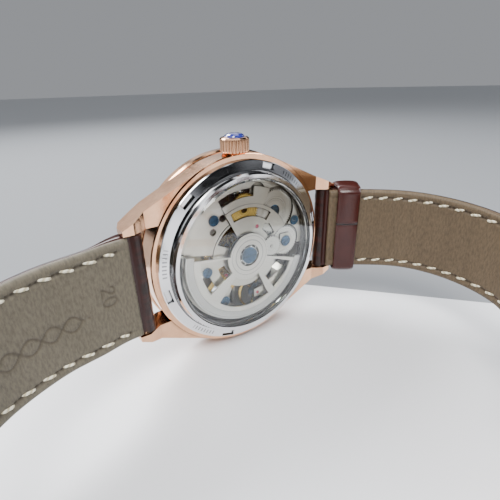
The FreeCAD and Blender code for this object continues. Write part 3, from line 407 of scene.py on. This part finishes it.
def jewel(name, tint):
    made = Finish(name, tint, 0.05, 0.0, IOR=1.76, Coat_Weight=1.0, Coat_Roughness=0.03)
    bright = tuple(min(1, c * 1.5 + 0.01) for c in tint)
    made.colour(made.ramp(made.noise(1500.0, 2.0), [(0.3, tint), (0.7, bright)]))
    return made.material


def rubber():
    made = Finish("seal_rubber", (0.02, 0.02, 0.02), 0.6)
    made.bump(made.noise(4000.0, 2.0), 0.00001)
    return made.material


# ---------------------------------------------------------------- the CAD pieces' finishes

def dress(material, *names):
    for name in names:
        slots = NODES[name].data.materials
        slots.clear()
        slots.append(material)


def axis_of(name):
    """The middle of a node, in x and z."""
    low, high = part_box(name)
    centre = (low + high) / 2
    return centre.x, centre.z


def dress_nodes():
    gold, steel = rose_gold(), polished_steel()
    dress(gold, "case_middle", "bezel", "crown", "crown_tube", "buckle_frame", "buckle_tongue",
          "hour_markers")
    dress(engraved_ring(), "caseback_ring")
    dress(steel, "lug_spring_bars", "buckle_spring_bar", "winding_stem", "winding_pinion", "sliding_pinion",
          "setting_lever", "yoke", "click", "barrel_arbor", "bearing_balls", "cannon_pinion", "escape_wheel",
          "pallet_fork")
    dress(plain_metal("spring_steel", (0.40, 0.42, 0.45), 0.3), "mainspring")
    # The movement ring and the main plate are made far darker than the bridges: painted shade for the deep
    # cavity under the bridges and rotor.
    dress(nickel("holder_steel_painted_shade", (0.26, 0.25, 0.25)), "movement_ring")
    dress(nickel("plate_nickel_painted_shade", (0.24, 0.23, 0.21)), "main_plate")
    dress(nickel("nickel", (0.70, 0.67, 0.59)), "barrel_bridge", "train_bridge", "balance_cock",
          "automatic_bridge")
    dress(turned_metal("rotor_nickel", (0.80, 0.77, 0.70), 0.34, grooves=ROTOR_GROOVES), "rotor_plate")
    dress(turned_metal("brushed_weight", (0.58, 0.57, 0.54), 0.3, depth=0.00001, rings=3400.0),
          "rotor_weight")
    dress(turned_metal("bearing_steel", (0.74, 0.73, 0.70), 0.25), "rotor_bearing")
    for name in ("ratchet_wheel", "driving_wheel", "reverser_wheel", "reverser_pinion"):
        dress(turned_metal(name + "_metal", (0.72, 0.70, 0.64), 0.3, axis_of(name), alone=False), name)
    dress(turned_metal("gilt_wheel", (0.85, 0.60, 0.16), 0.28, axis_of("crown_wheel"), alone=False),
          "crown_wheel")
    dress(plain_metal("blued_steel", (0.045, 0.105, 0.185), 0.24), "bridge_screws", "ratchet_screw",
          "rotor_screw", "hairspring", "hour_hand", "minute_hand", "seconds_hand")
    dress(plain_metal("gilt_brass", (0.82, 0.56, 0.15), 0.26), "barrel_drum", "intermediate_wheel",
          "centre_wheel", "third_wheel", "fourth_wheel", "balance_wheel", "minute_wheel", "hour_wheel")
    dress(clear_glass("back_glass", (0.97, 0.99, 0.99)), "caseback_glass")
    dress(clear_glass("front_crystal", (0.98, 0.99, 0.99)), "crystal")
    dress(jewel("ruby", (0.45, 0.01, 0.06)), "jewels")
    dress(jewel("blue_cabochon", (0.01, 0.015, 0.16)), "crown_cabochon")
    dress(rubber(), "sealing_rings")
    dress(nickel("dial_silver", (0.80, 0.79, 0.75)), "dial")


# ---------------------------------------------------------------- strap: its line and its sizes

LONG_PATH = [(-23.2, 1.2), (-27.4, 0.9), (-31.6, -0.3), (-36.5, -1.4), (-41.7, -3.4), (-47.7, -6.8),
             (-53.2, -13.0), (-56.2, -22.0), (-56.8, -32.5), (-55.2, -43.0), (-51.0, -53.0), (-44.6, -62.0),
             (-36.4, -69.0), (-27.2, -74.5), (-17.6, -78.2)]
SHORT_PATH = [(23.2, 1.2), (27.2, -1.4), (31.0, -4.5), (37.0, -10.5), (40.5, -16.5), (42.3, -22.5),
              (42.8, -28.5), (41.8, -34.0), (39.0, -38.5), (34.2, -44.8), (27.5, -51.1), (19.4, -56.6)]
LONG_SAG = (12.2, 62)           # how far a half's far end hangs, and how gently it gets there
SHORT_SAG = (9.6, 95)
SAG_START = 14
LUG_WIDTH, NARROWING, NARROWING_LENGTH = 19.6, 1.8, 60
BODY_THICK, LUG_EXTRA = 3.0, 1.2
ROOT_LENGTH = 8                 # where the leather goes from the eye's round shape to its own edge
ROOT_DROP = 0.25
EDGE_THICK = 1.6
SIDE_CLEAR = 0.08
TIP_LENGTH, TIP_TRIM = 9, 0.4
LEATHER_STEP = 0.45
EYE_STEPS = 15

SCALE_ROWS, SCALE_PITCH = 80, 4.3
MIDDLE_BAND, MIDDLE_SCALE, SIDE_SCALE = 5.2, 3.9, 2.3
SCALE_RELIEF, EYE_RELIEF = 0.16, 0.1

LINING_THICK = 0.35
LINING_WRAP = 0.85
LINING_START, LINING_FINE_STEP, LINING_STEP = 0.9, 0.25, 0.42
CREASE_WIDTH = 0.5
MARK_HALF_WIDTH, MARK_DEPTH = (0.06, 0.3), 0.16

STITCH_INSET = 1.75
STITCH_PITCH = 3.4
STITCH_LENGTH = 2.3
STITCH_SLANT = 0.3
STITCH_RINGS, STITCH_SIDES = 11, 10
THREAD_HALF_WIDTH, THREAD_HALF_HEIGHT = 0.27, 0.22

HOLE_COUNT, HOLE_PITCH, HOLE_RADIUS, HOLE_SIDES = 7, 6.5, 0.9, 20
LAST_HOLE = 22                  # from the tip to the middle of the nearest hole
SLOT_START, SLOT_END, SLOT_HALF_WIDTH = 6.5, 4, 1.7
KEEPER_THICK, KEEPER_ROOM, KEEPER_CORNER = 0.85, 0.9, 0.8


def smooth_step(value, low, high):
    share = np.clip((value - low) / (high - low), 0, 1)
    return share * share * (3 - 2 * share)


def smooth_line(points, count=1600):
    """A natural cubic spline through the points, as an even run of points."""
    points = np.array(points, float)
    knots = np.concatenate([[0], np.cumsum(np.linalg.norm(np.diff(points, axis=0), axis=1))])
    gaps = np.diff(knots)
    slopes = np.diff(points, axis=0) / gaps[:, None]
    size = len(points)
    system = np.eye(size)
    right = np.zeros((size, 2))
    for k in range(1, size - 1):
        system[k, k - 1:k + 2] = gaps[k - 1], 2 * (gaps[k - 1] + gaps[k]), gaps[k]
        right[k] = 6 * (slopes[k] - slopes[k - 1])
    bend = np.linalg.solve(system, right)
    where = np.linspace(0, knots[-1], count)
    k = np.clip(np.searchsorted(knots, where) - 1, 0, size - 2)
    a, b, gap = (knots[k + 1] - where)[:, None], (where - knots[k])[:, None], gaps[k][:, None]
    return (bend[k] * a ** 3 + bend[k + 1] * b ** 3) / (6 * gap) \
        + (points[k] / gap - bend[k] * gap / 6) * a + (points[k + 1] / gap - bend[k + 1] * gap / 6) * b


class Strap:
    """One half of the strap, in millimetres: distance along it, depth outwards and height across it."""

    def __init__(self, path, sag, spread):
        self.line = smooth_line(path)
        steps = np.linalg.norm(np.diff(self.line, axis=0), axis=1)
        self.along = np.concatenate([[0], np.cumsum(steps)])
        self.length, self.sag, self.spread = self.along[-1], sag, spread
        self.outward = 1 if path[0][0] > 0 else -1

    def half(self, along):
        share = np.clip(along, 0, None) / self.length
        return (BODY_THICK + LUG_EXTRA * np.clip(1 - share * 1.6, 0, 1) ** 1.5) / 2

    def width(self, along):
        return LUG_WIDTH - NARROWING * np.clip(along / NARROWING_LENGTH, 0, 1)

    def place(self, along, depth, height):
        """Points in metres. Beyond its two ends the strap runs straight on."""
        along, depth, height = np.broadcast_arrays(along, depth, height)
        inside = np.clip(along, 0, self.length)
        centre = np.stack([np.interp(inside, self.along, self.line[:, k]) for k in (0, 1)], -1)
        ahead = np.clip(inside + 0.2, 0, self.length)
        behind = np.clip(inside - 0.2, 0, self.length)
        heading = np.stack([np.interp(ahead, self.along, self.line[:, k])
                            - np.interp(behind, self.along, self.line[:, k]) for k in (0, 1)], -1)
        heading /= np.linalg.norm(heading, axis=-1, keepdims=True)
        side = self.outward * np.stack([-heading[..., 1], heading[..., 0]], -1)
        centre = centre + heading * (along - inside)[..., None] + side * depth[..., None]
        share = np.clip(inside - SAG_START, 0, None) / self.spread
        whole = (self.length - SAG_START) / self.spread
        drop = -self.sag * (1 - np.exp(-share ** 2)) / (1 - math.exp(-whole ** 2))
        return np.concatenate([centre, (height + drop)[..., None]], -1) * MM


def mesh_piece(name, points, faces, flat=None, mark=None, material=None):
    """A smooth-shaded mesh, with the flat coordinates and the marks that its material reads."""
    mesh = bpy.data.meshes.new(name)
    mesh.from_pydata([tuple(p) for p in points], [], faces)
    mesh.validate()
    mesh.update()
    for attribute, values in (("flat", flat), ("mark", mark)):
        if values is None:
            continue
        kind, key = ("FLOAT_VECTOR", "vector") if attribute == "flat" else ("FLOAT", "value")
        layer = mesh.attributes.new(attribute, kind, "POINT")
        layer.data.foreach_set(key, np.asarray(values, np.float32).ravel())
    shape = bmesh.new()
    shape.from_mesh(mesh)
    bmesh.ops.recalc_face_normals(shape, faces=shape.faces)
    shape.to_mesh(mesh)
    shape.free()
    mesh.shade_smooth()
    piece = bpy.data.objects.new(name, mesh)
    bpy.context.scene.collection.objects.link(piece)
    if material:
        mesh.materials.append(material)
    return piece


def ring_faces(rows, columns, closed_rows):
    """Quads of a grid whose columns close into rings. The rows close too, or are capped."""
    faces = []
    for i in range(rows if closed_rows else rows - 1):
        for j in range(columns):
            k, m = (i + 1) % rows, (j + 1) % columns
            faces.append((i * columns + j, k * columns + j, k * columns + m, i * columns + m))
    if not closed_rows:
        faces.append(tuple(range(columns)))
        faces.append(tuple((rows - 1) * columns + j for j in reversed(range(columns))))
    return faces


def crocodile(along, height, seed):
    """Relief of crocodile scales: 0 on a scale and 1 in the crease between two."""
    chance = np.random.default_rng(seed)
    row_shift = chance.uniform(-0.5, 0.5, SCALE_ROWS)
    wobble = 0.35 * np.sin(height * 0.9 + row_shift[3] * 6) + 0.22 * np.sin(height * 2.3 + 1)
    rows = (along + wobble) / SCALE_PITCH + 4
    row = np.clip(np.floor(rows).astype(int), 0, SCALE_ROWS - 2)
    to_row = np.minimum(rows - row, row + 1 - rows) * SCALE_PITCH
    cell = np.where(np.abs(height) < MIDDLE_BAND, MIDDLE_SCALE, SIDE_SCALE)
    columns = height / cell + row_shift[row] + 40 + 0.06 * np.sin(along * 2.1)
    to_column = np.minimum(columns - np.floor(columns), np.ceil(columns) - columns) * cell
    return np.maximum(np.exp(-(to_row / 0.33) ** 2), 0.8 * np.exp(-(to_column / 0.3) ** 2))


def outer_edge(strap, along):
    """The depth of the outer face at the strap's sides, where it rises to full thickness at the lug."""
    half = strap.half(along)
    root = 1 - smooth_step(along, 0, ROOT_LENGTH)
    return (-half + EDGE_THICK) * (1 - root) + (half - ROOT_DROP) * root


def outer_depth(strap, along, height):
    """The depth of the leather's domed outer face."""
    half, edge = strap.half(along), outer_edge(strap, along)
    return edge + (half - edge) * (1 - abs(height / (strap.width(along) / 2)) ** 4)


def leather_reach(strap, along, pointed):
    """Half the leather's width, which closes to a rounded point at the long half's tip."""
    wide = strap.width(along) / 2 - SIDE_CLEAR
    if pointed:
        close = np.clip((along - (strap.length - TIP_LENGTH)) / TIP_LENGTH, 0, 0.995)
        wide = wide * (1 - close ** 2.6) ** 0.6
    return wide


def strap_leather(strap, name, material, seed, pointed):
    """The outer leather: domed and scaled outside, turned round the spring bar at the lug."""
    end = strap.length - TIP_TRIM
    stations = np.concatenate([np.arange(0, end, LEATHER_STEP), [end]])
    across = np.concatenate([[-1, -0.992, -0.975], np.linspace(-0.95, 0.95, 61), [0.975, 0.992, 1]])
    dome = 1 - np.abs(across) ** 4
    half = strap.half(stations)[:, None]
    edge = outer_edge(strap, stations)[:, None]
    height = leather_reach(strap, stations, pointed)[:, None] * across
    crease = crocodile(stations[:, None], height, seed)
    tip = np.clip((strap.length - stations) / 1.6, 0.25, 1)[:, None] ** 0.5
    outer = (edge + (half - edge) * dome) * tip - SCALE_RELIEF * crease * np.abs(dome) ** 0.3 - 0.02
    inner = np.broadcast_to(-half + LINING_THICK, height.shape)
    bend = np.linspace(0, math.pi, EYE_STEPS + 2)[1:-1, None]
    root_half = strap.half(0)
    eye_radius = root_half - 0.02 - EYE_RELIEF * crocodile(-np.cos(bend) * 3, height[:1], seed + 1)
    inner_radius = root_half - LINING_THICK
    radius = inner_radius + (eye_radius - inner_radius) * smooth_step(bend / math.pi, 0, 0.5)
    loops = [(stations[::-1, None] + 0 * height, inner, height[::-1]),
             (-radius * np.sin(bend) + 0 * height[:1], -radius * np.cos(bend) + 0 * height[:1],
              np.broadcast_to(height[:1], (EYE_STEPS, len(across)))),
             (stations[:, None] + 0 * height, outer, height)]
    along, depth, up = (np.concatenate(part) for part in zip(*loops))
    points = strap.place(along, depth, up).reshape(-1, 3)
    count, wide = along.shape
    faces = []
    for i in range(count):
        k = (i + 1) % count
        faces += [(i * wide + j, k * wide + j, k * wide + j + 1, i * wide + j + 1) for j in range(wide - 1)]
    last = len(stations) - 1
    for column in (0, wide - 1):
        for i in range(last):
            mirror = count - 1 - i
            faces.append((i * wide + column, (i + 1) * wide + column,
                          (mirror - 1) * wide + column, mirror * wide + column))
        faces.append(tuple(k * wide + column for k in range(last, count - last)))
    flat = np.stack([along + depth, up, 0 * up], -1) * MM
    eye_crease = np.broadcast_to(crocodile(0, height[:1], seed), (EYE_STEPS, wide))
    creases = np.concatenate([np.zeros_like(height), eye_crease, crease])
    return mesh_piece(name, points, faces, flat, creases, material)


def stitch_spots(start, stop):
    """The middles of a row of stitches."""
    return np.arange(start, stop, STITCH_PITCH)


def lining_relief(strap, along, height, spots, seed, marks, creases):
    """How far the lining lies back from its plane, and how much darker it is: painted shade in its stitch
    pits and creases, and darker pressed marks.
    """
    inset = strap.width(along) / 2 - np.abs(height)
    relief = -0.10 * np.exp(-((inset - 0.9) / 0.45) ** 2)
    relief += 0.12 * np.exp(-((inset - STITCH_INSET) / 0.3) ** 2)
    round_off = np.clip((0.6 - inset) / 0.6, 0, 1)
    relief += 0.6 * (1 - np.sqrt(1 - round_off ** 2))
    shade_and_stamp = np.zeros_like(relief)
    for end in (-1, 1):
        offset = along - spots[0] - end * (STITCH_LENGTH / 2 + 0.15) + STITCH_PITCH / 2
        nearest = np.abs(offset % STITCH_PITCH - STITCH_PITCH / 2)
        pit = np.exp(-(nearest / 0.3) ** 2 - ((inset - STITCH_INSET) / 0.28) ** 2)
        pit *= (along > spots[0] - STITCH_PITCH / 2) & (along < spots[-1] + STITCH_PITCH / 2)
        # A stitch's pit sinks, and its darkening is painted shade.
        relief += 0.3 * pit
        shade_and_stamp = np.maximum(shade_and_stamp, pit)
    chance = np.random.default_rng(seed)
    for place, deep in creases:
        line = place + 0.35 * np.sin(height * 0.35 + chance.uniform(0, 6)) + 0.1 * np.sin(height * 1.3)
        fold = deep * np.exp(-((along - line) / CREASE_WIDTH) ** 2) * smooth_step(inset, 1.2, 4)
        relief += fold
        # A crease's darkening is painted shade.
        shade_and_stamp = np.maximum(shade_and_stamp, fold * 2.2)
    for stroke in marks:
        near = np.full(relief.shape, 9.0)
        for (s0, h0), (s1, h1) in zip(stroke, stroke[1:]):
            run = np.array([s1 - s0, h1 - h0])
            share = np.clip(((along - s0) * run[0] + (height - h0) * run[1]) / (run @ run), 0, 1)
            near = np.minimum(near, np.hypot(along - s0 - share * run[0], height - h0 - share * run[1]))
        press = 1 - smooth_step(near, *MARK_HALF_WIDTH)
        relief += MARK_DEPTH * press
        # A pressed mark is made darker.
        shade_and_stamp = np.maximum(shade_and_stamp, 0.55 * press)
    return relief, shade_and_stamp


def strap_lining(strap, name, material, fine, stop, spots, seed, marks, creases):
    """The lining: a thin sheet on the wrist side that rolls over the edges, closely meshed up to fine."""
    near, far = np.arange(LINING_START, fine, LINING_FINE_STEP), np.arange(fine, stop, LINING_STEP)
    stations = np.concatenate([near, far, [stop]])[:, None]
    across = np.linspace(-1, 1, 85)
    reach = strap.width(stations) / 2
    height = reach * across
    relief, shade_and_stamp = lining_relief(strap, stations + 0 * height, height, spots, seed, marks, creases)
    ragged = np.random.default_rng(seed).normal(0, 0.05, height.shape[1])
    face_along = stations + 0 * height
    face_along[0] += ragged
    end_round = sum(0.22 * np.exp(-((stations - end) / 0.25) ** 2) for end in (LINING_START, stop))
    face = -strap.half(stations) + relief + end_round
    back_across = np.array([1, 0.9, 0, -0.9, -1])
    wrap = np.array([LINING_WRAP, LINING_WRAP - 0.1, LINING_THICK + 0.15, LINING_WRAP - 0.1, LINING_WRAP])
    back_depth = -strap.half(stations) + wrap
    along = np.concatenate([face_along, stations + 0 * back_depth], 1)
    depth = np.concatenate([face, back_depth], 1)
    up = np.concatenate([height, reach * back_across], 1)
    points = strap.place(along, depth, up).reshape(-1, 3)
    mark = np.concatenate([shade_and_stamp, 0 * back_depth], 1)
    flat = np.stack([along, up, 0 * up], -1) * MM
    return mesh_piece(name, points, ring_faces(*along.shape, False), flat, mark, material)


def stitching(strap, name, material, spots, outer_spots):
    """Thick waxed thread: one short twisted stitch after another, along both edges and both faces."""
    points, faces, flat = [], [], []
    reach = np.linspace(-1, 1, STITCH_RINGS)[:, None]
    turn = np.arange(STITCH_SIDES) * 2 * math.pi / STITCH_SIDES
    swell = np.sqrt(np.clip(1 - np.abs(reach) ** 3.2, 0.02, 1))
    sink = 0.25 * np.abs(reach) ** 4
    quads = ring_faces(STITCH_RINGS, STITCH_SIDES, False)
    for face, row in ((-1, spots), (1, outer_spots)):
        for edge in (-1, 1):
            for number, spot in enumerate(row):
                inset = strap.width(spot) / 2 - STITCH_INSET
                radius = swell * (1 + 0.13 * np.sin(3 * turn[None] + 9 * reach + number))
                along = spot + reach * STITCH_LENGTH / 2 + 0 * turn
                up = edge * inset + STITCH_SLANT * reach + THREAD_HALF_WIDTH * radius * np.cos(turn)
                rise = THREAD_HALF_HEIGHT * radius * np.sin(turn)
                if face < 0:
                    depth = -strap.half(spot) + 0.02 + sink + rise
                else:
                    depth = outer_depth(strap, spot, inset) - 0.06 - sink + rise
                base = len(points)
                points += list(strap.place(along, depth, up).reshape(-1, 3))
                flat += list(np.stack([along, up, depth], -1).reshape(-1, 3) * MM)
                faces += [tuple(base + v for v in quad) for quad in quads]
    return mesh_piece(name, points, faces, flat, None, material)


def leather_loop(strap, name, material, centre, wide, clear, seam=None):
    """A keeper: a leather band round the strap. Where it has a seam, its ends lap on the wrist side."""
    low, high = -strap.half(centre) - clear, strap.half(centre) + clear + KEEPER_ROOM
    top = strap.width(centre) / 2 + clear
    corner, corners = KEEPER_CORNER, []
    for k, (depth, height) in enumerate(((low, -top), (high, -top), (high, top), (low, top))):
        for step in range(7):
            angle = math.radians(180 + 90 * k + 15 * step)
            inward = (depth - math.copysign(corner, depth), height - math.copysign(corner, height))
            corners.append((*inward, math.cos(angle), math.sin(angle)))
    path = []
    for (d0, h0, x0, y0), (d1, h1, x1, y1) in zip(corners, corners[1:] + corners[:1]):
        span = math.hypot(d0 + corner * x0 - d1 - corner * x1, h0 + corner * y0 - h1 - corner * y1)
        count = max(1, int(span / 0.4))
        for step in range(count):
            share = step / count
            path.append(tuple(a + (b - a) * share for a, b in zip((d0, h0, x0, y0), (d1, h1, x1, y1))))
    path = np.array(path)
    turn = np.linspace(0, 2 * math.pi, 28, endpoint=False)
    side = np.sign(np.cos(turn)) * np.abs(np.cos(turn)) ** 0.55 * wide / 2
    rise = np.sign(np.sin(turn)) * np.abs(np.sin(turn)) ** 0.7 * 0.5 + 0.5
    crown = 1 + 0.18 * (1 - (side / (wide / 2)) ** 2)
    thick = np.full(len(path), KEEPER_THICK)
    on_wrist_side = path[:, 2] < -0.9
    if seam is not None:
        lap = on_wrist_side * smooth_step(path[:, 1], seam, seam + 0.22)
        groove = on_wrist_side * np.exp(-((path[:, 1] - seam + 0.1) / 0.16) ** 2)
        thick = thick + 0.25 * lap - 0.2 * groove
    out = corner + thick[:, None] * rise * crown
    depth = path[:, :1] + path[:, 2:3] * out
    up = path[:, 1:2] + path[:, 3:4] * out
    points = strap.place(centre + side + 0 * depth, depth, up).reshape(-1, 3)
    flat = np.stack([side + 0 * depth, up, depth], -1) * MM
    seam_mark = np.zeros_like(depth)
    if seam is not None:
        seam_mark += (on_wrist_side * np.exp(-((path[:, 1] - seam) / 0.3) ** 2))[:, None]
    return mesh_piece(name, points, ring_faces(*depth.shape, True), flat, seam_mark, material)


def drill_piece(piece, cutter):
    """Cut a scratch mesh out of a piece."""
    change = piece.modifiers.new("cut", "BOOLEAN")
    change.operation = "DIFFERENCE"
    change.solver = "EXACT"
    change.object = cutter
    graph = bpy.context.evaluated_depsgraph_get()
    mesh = bpy.data.meshes.new_from_object(piece.evaluated_get(graph))
    piece.modifiers.remove(change)
    piece.data = mesh


def hole_cutter(strap, centres):
    """Round pins through the strap."""
    points, faces = [], []
    for centre in centres:
        turn = np.arange(HOLE_SIDES) * 2 * math.pi / HOLE_SIDES
        round_along, round_up = HOLE_RADIUS * np.cos(turn), HOLE_RADIUS * np.sin(turn)
        base = len(points)
        for depth in (-4, 4):
            points += list(strap.place(centre + round_along, depth, round_up))
        faces += [tuple(base + v for v in quad) for quad in ring_faces(2, HOLE_SIDES, False)]
    return mesh_piece("cutter", points, faces)


def slot_cutter(strap, low, high):
    """A block through the strap's end, where the buckle's tongue goes."""
    reach = SLOT_HALF_WIDTH
    corners = [(s, d, h) for s in (low, high)
               for d, h in ((-5, -reach), (5, -reach), (5, reach), (-5, reach))]
    points = [strap.place(*corner) for corner in corners]
    return mesh_piece("cutter", points, ring_faces(2, 4, False))


# ---------------------------------------------------------------- strap: its leathers

def flat_place(made):
    """The coordinates that a piece had before it was bent to its place."""
    return made.node("Attribute", attribute_name="flat").outputs["Vector"]


def marked(made):
    """How much darker a place is: 1 in a crease, a stitch's pit or a pressed mark. In the lining's creases
    and stitch pits this darkening is painted shade.
    """
    return made.node("Attribute", attribute_name="mark").outputs["Fac"]


def lining_leather(name, pale, deep):
    """Soft calf lining: fine wrinkles that run across, with painted shade where they sink, patches of tone,
    painted shade in creases and stitch pits, and darker pressed marks.
    """
    made = Finish(name, pale, 0.55, 0.0, Specular_IOR_Level=0.35)
    place = flat_place(made)
    wrinkle = made.noise(1.0, 5.0, 0.6, made.stretched((2600, 900, 1000), place))
    patch = made.noise(1.0, 3.0, 0.5, made.stretched((120, 60, 100), place))
    grain = made.node("TexVoronoi", Scale=1.0, feature="DISTANCE_TO_EDGE")
    made.link(made.stretched((2200, 1500, 1000), place), grain.inputs["Vector"])
    tone = made.node("Mix", data_type="RGBA")
    made.link(patch, tone.inputs["Factor"])
    tone.inputs["A"].default_value = (*pale, 1)
    tone.inputs["B"].default_value = (*deep, 1)
    # The wrinkles make the colour darker where they sink: painted shade.
    wrinkle_shade = made.node("Mix", data_type="RGBA", blend_type="MULTIPLY")
    made.link(made.ramp(wrinkle, [(0.32, grey(0.60)), (0.6, grey(1.0))]), wrinkle_shade.inputs["B"])
    made.link(tone.outputs["Result"], wrinkle_shade.inputs["A"])
    wrinkle_shade.inputs["Factor"].default_value = 1.0
    # Painted shade in creases and stitch pits, and darker pressed marks, where the mark attribute says.
    pressed = made.node("Mix", data_type="RGBA")
    made.link(marked(made), pressed.inputs["Factor"])
    made.link(wrinkle_shade.outputs["Result"], pressed.inputs["A"])
    pressed.inputs["B"].default_value = (0.035, 0.025, 0.016, 1)
    made.colour(pressed.outputs["Result"])
    made.spread(wrinkle, 0.45, 0.68, "Roughness")
    made.bump(wrinkle, 0.00009)
    made.bump(grain.outputs["Distance"], 0.00003, 0.6)
    return made.material


def outer_leather(name, pale, deep, rough=0.3):
    """Glazed crocodile-print leather: rich brown scales with nearly black creases."""
    made = Finish(name, pale, rough, 0.0, Coat_Weight=0.18, Coat_Roughness=0.2, Specular_IOR_Level=0.3)
    place = flat_place(made)
    patch = made.noise(1.0, 4.0, 0.6, made.stretched((260, 260, 260), place))
    tone = made.node("Mix", data_type="RGBA")
    made.link(patch, tone.inputs["Factor"])
    tone.inputs["A"].default_value = (*deep, 1)
    tone.inputs["B"].default_value = (*pale, 1)
    # Nearly black in the scales' creases and along a keeper's seam, where the mark attribute says.
    crease_and_seam_tone = made.node("Mix", data_type="RGBA")
    made.link(marked(made), crease_and_seam_tone.inputs["Factor"])
    made.link(tone.outputs["Result"], crease_and_seam_tone.inputs["A"])
    crease_and_seam_tone.inputs["B"].default_value = (0.010, 0.004, 0.003, 1)
    made.colour(crease_and_seam_tone.outputs["Result"])
    fine = made.noise(1.0, 4.0, 0.6, made.stretched((1500, 1500, 1500), place))
    made.spread(fine, rough * 0.75, rough * 1.35, "Roughness")
    made.bump(fine, 0.00005)
    return made.material


def thread():
    """Waxed linen thread, cream, with the twist of its plies."""
    made = Finish("stitch_thread", (0.72, 0.66, 0.47), 0.6, 0.0, Sheen_Weight=0.2)
    place = flat_place(made)
    twist = made.node("TexWave", Scale=1.0, Distortion=0.5, bands_direction="DIAGONAL")
    made.link(made.stretched((480, 480, 480), place), twist.inputs["Vector"])
    made.colour(made.ramp(twist.outputs["Fac"], [(0.1, (0.50, 0.43, 0.27)), (0.6, (0.80, 0.75, 0.58))]))
    made.bump(twist.outputs["Fac"], 0.00008)
    return made.material


# ---------------------------------------------------------------- strap: its pieces

def size_number():
    """The strap's width pressed into its lining as a plain number, its top towards the lug."""
    two = [(5.7, 2.5), (5.2, 2.3), (4.9, 1.8), (5.1, 1.3), (5.7, 1.2), (6.3, 1.7), (7.4, 2.6), (7.4, 1.1)]
    turn = np.linspace(0, 2 * math.pi, 25)
    nought = [(6.15 + 1.25 * math.cos(a), -0.2 + 0.75 * math.sin(a)) for a in turn]
    return [two, nought]


def ornament():
    """A pressed ornament along the strap's middle: two waves that cross, between two dots."""
    start, end, middle, height, half_wave = 11, 31.5, -1.2, 1.3, 3.4
    strokes = []
    for sign in (-1, 1):
        strokes.append([(s, middle + sign * height * math.sin((s - start) * math.pi / half_wave))
                        for s in np.arange(start, end, 0.4)])
    for s in (9.9, 32.5):
        strokes.append([(s, middle - 0.05), (s + 0.1, middle + 0.05)])
    return strokes


def add_piece(piece, body, slot, *nodes):
    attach(piece, body)
    if nodes:
        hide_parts(*nodes)


def add_straps():
    brown = outer_leather("crocodile_leather", (0.042, 0.009, 0.006), (0.022, 0.005, 0.004))
    keeper = outer_leather("keeper_leather", (0.055, 0.012, 0.009), (0.028, 0.007, 0.006), 0.22)
    olive = lining_leather("lining_olive", (0.140, 0.120, 0.086), (0.106, 0.091, 0.063))
    tan = lining_leather("lining_tan", (0.135, 0.096, 0.056), (0.095, 0.066, 0.038))
    cream = thread()

    half = Strap(LONG_PATH, *LONG_SAG)
    spots = stitch_spots(4.7, half.length - 8)
    outer = stitch_spots(5.2, half.length - 8)
    leather = strap_leather(half, "strap_long_leather", brown, seed=11, pointed=True)
    creases = [(41, 0.03), (52, 0.04), (66, 0.03), (78, 0.05)]
    lining = strap_lining(half, "strap_long_lining", olive, fine=40, stop=half.length - 9.5, spots=spots,
                          seed=5, marks=size_number() + ornament(), creases=creases)
    cutter = hole_cutter(half, [half.length - LAST_HOLE - HOLE_PITCH * k for k in range(HOLE_COUNT)])
    for piece in (leather, lining):
        drill_piece(piece, cutter)
    bpy.data.objects.remove(cutter)
    add_piece(leather, "strap_long", "keeper_leather", "strap_long")
    add_piece(lining, "strap_long", "strap_leather")
    add_piece(stitching(half, "strap_long_stitching", cream, spots, outer), "strap_long", "strap_leather")

    half = Strap(SHORT_PATH, *SHORT_SAG)
    spots = stitch_spots(10.2, half.length - 9)
    outer = stitch_spots(5.2, half.length - 9)
    leather = strap_leather(half, "strap_short_leather", brown, seed=23, pointed=False)
    creases = [(2.55, 0.07), (16.5, 0.06), (18.3, 0.035), (20.6, 0.05), (24.2, 0.05), (29.5, 0.03),
               (34, 0.05), (41, 0.03), (50, 0.04)]
    lining = strap_lining(half, "strap_short_lining", tan, fine=36, stop=half.length - 8, spots=spots,
                          seed=6, marks=(), creases=creases)
    cutter = slot_cutter(half, half.length - SLOT_START, half.length + SLOT_END)
    drill_piece(leather, cutter)
    bpy.data.objects.remove(cutter)
    add_piece(leather, "strap_short", "keeper_leather", "strap_short")
    add_piece(lining, "strap_short", "strap_leather")
    add_piece(stitching(half, "strap_short_stitching", cream, spots, outer), "strap_short", "strap_leather")
    fixed = leather_loop(half, "fixed_keeper", keeper, centre=half.length - 13, wide=5.0, clear=0.4)
    add_piece(fixed, "strap_short", "keeper_leather")
    loose = leather_loop(half, "floating_keeper_loop", keeper, centre=5.4, wide=5.5, clear=0.25, seam=1.8)
    add_piece(loose, "floating_keeper", "keeper_leather", "floating_keeper")


add_camera()
add_world()
add_stage()
add_light("key", place=(-0.20, -0.24, 0.45), size=(0.30, 0.25), power=4.6, colour=(1.0, 0.99, 0.97))
add_light("fill", place=(0.45, -0.30, 0.30), size=(0.2, 0.35), power=2.0, colour=(0.95, 0.97, 1.0))
add_light("rim", place=(-0.02, 0.42, 0.40), size=(0.5, 0.2), power=6.0, colour=(1.0, 1.0, 1.0))
dress_nodes()
add_straps()
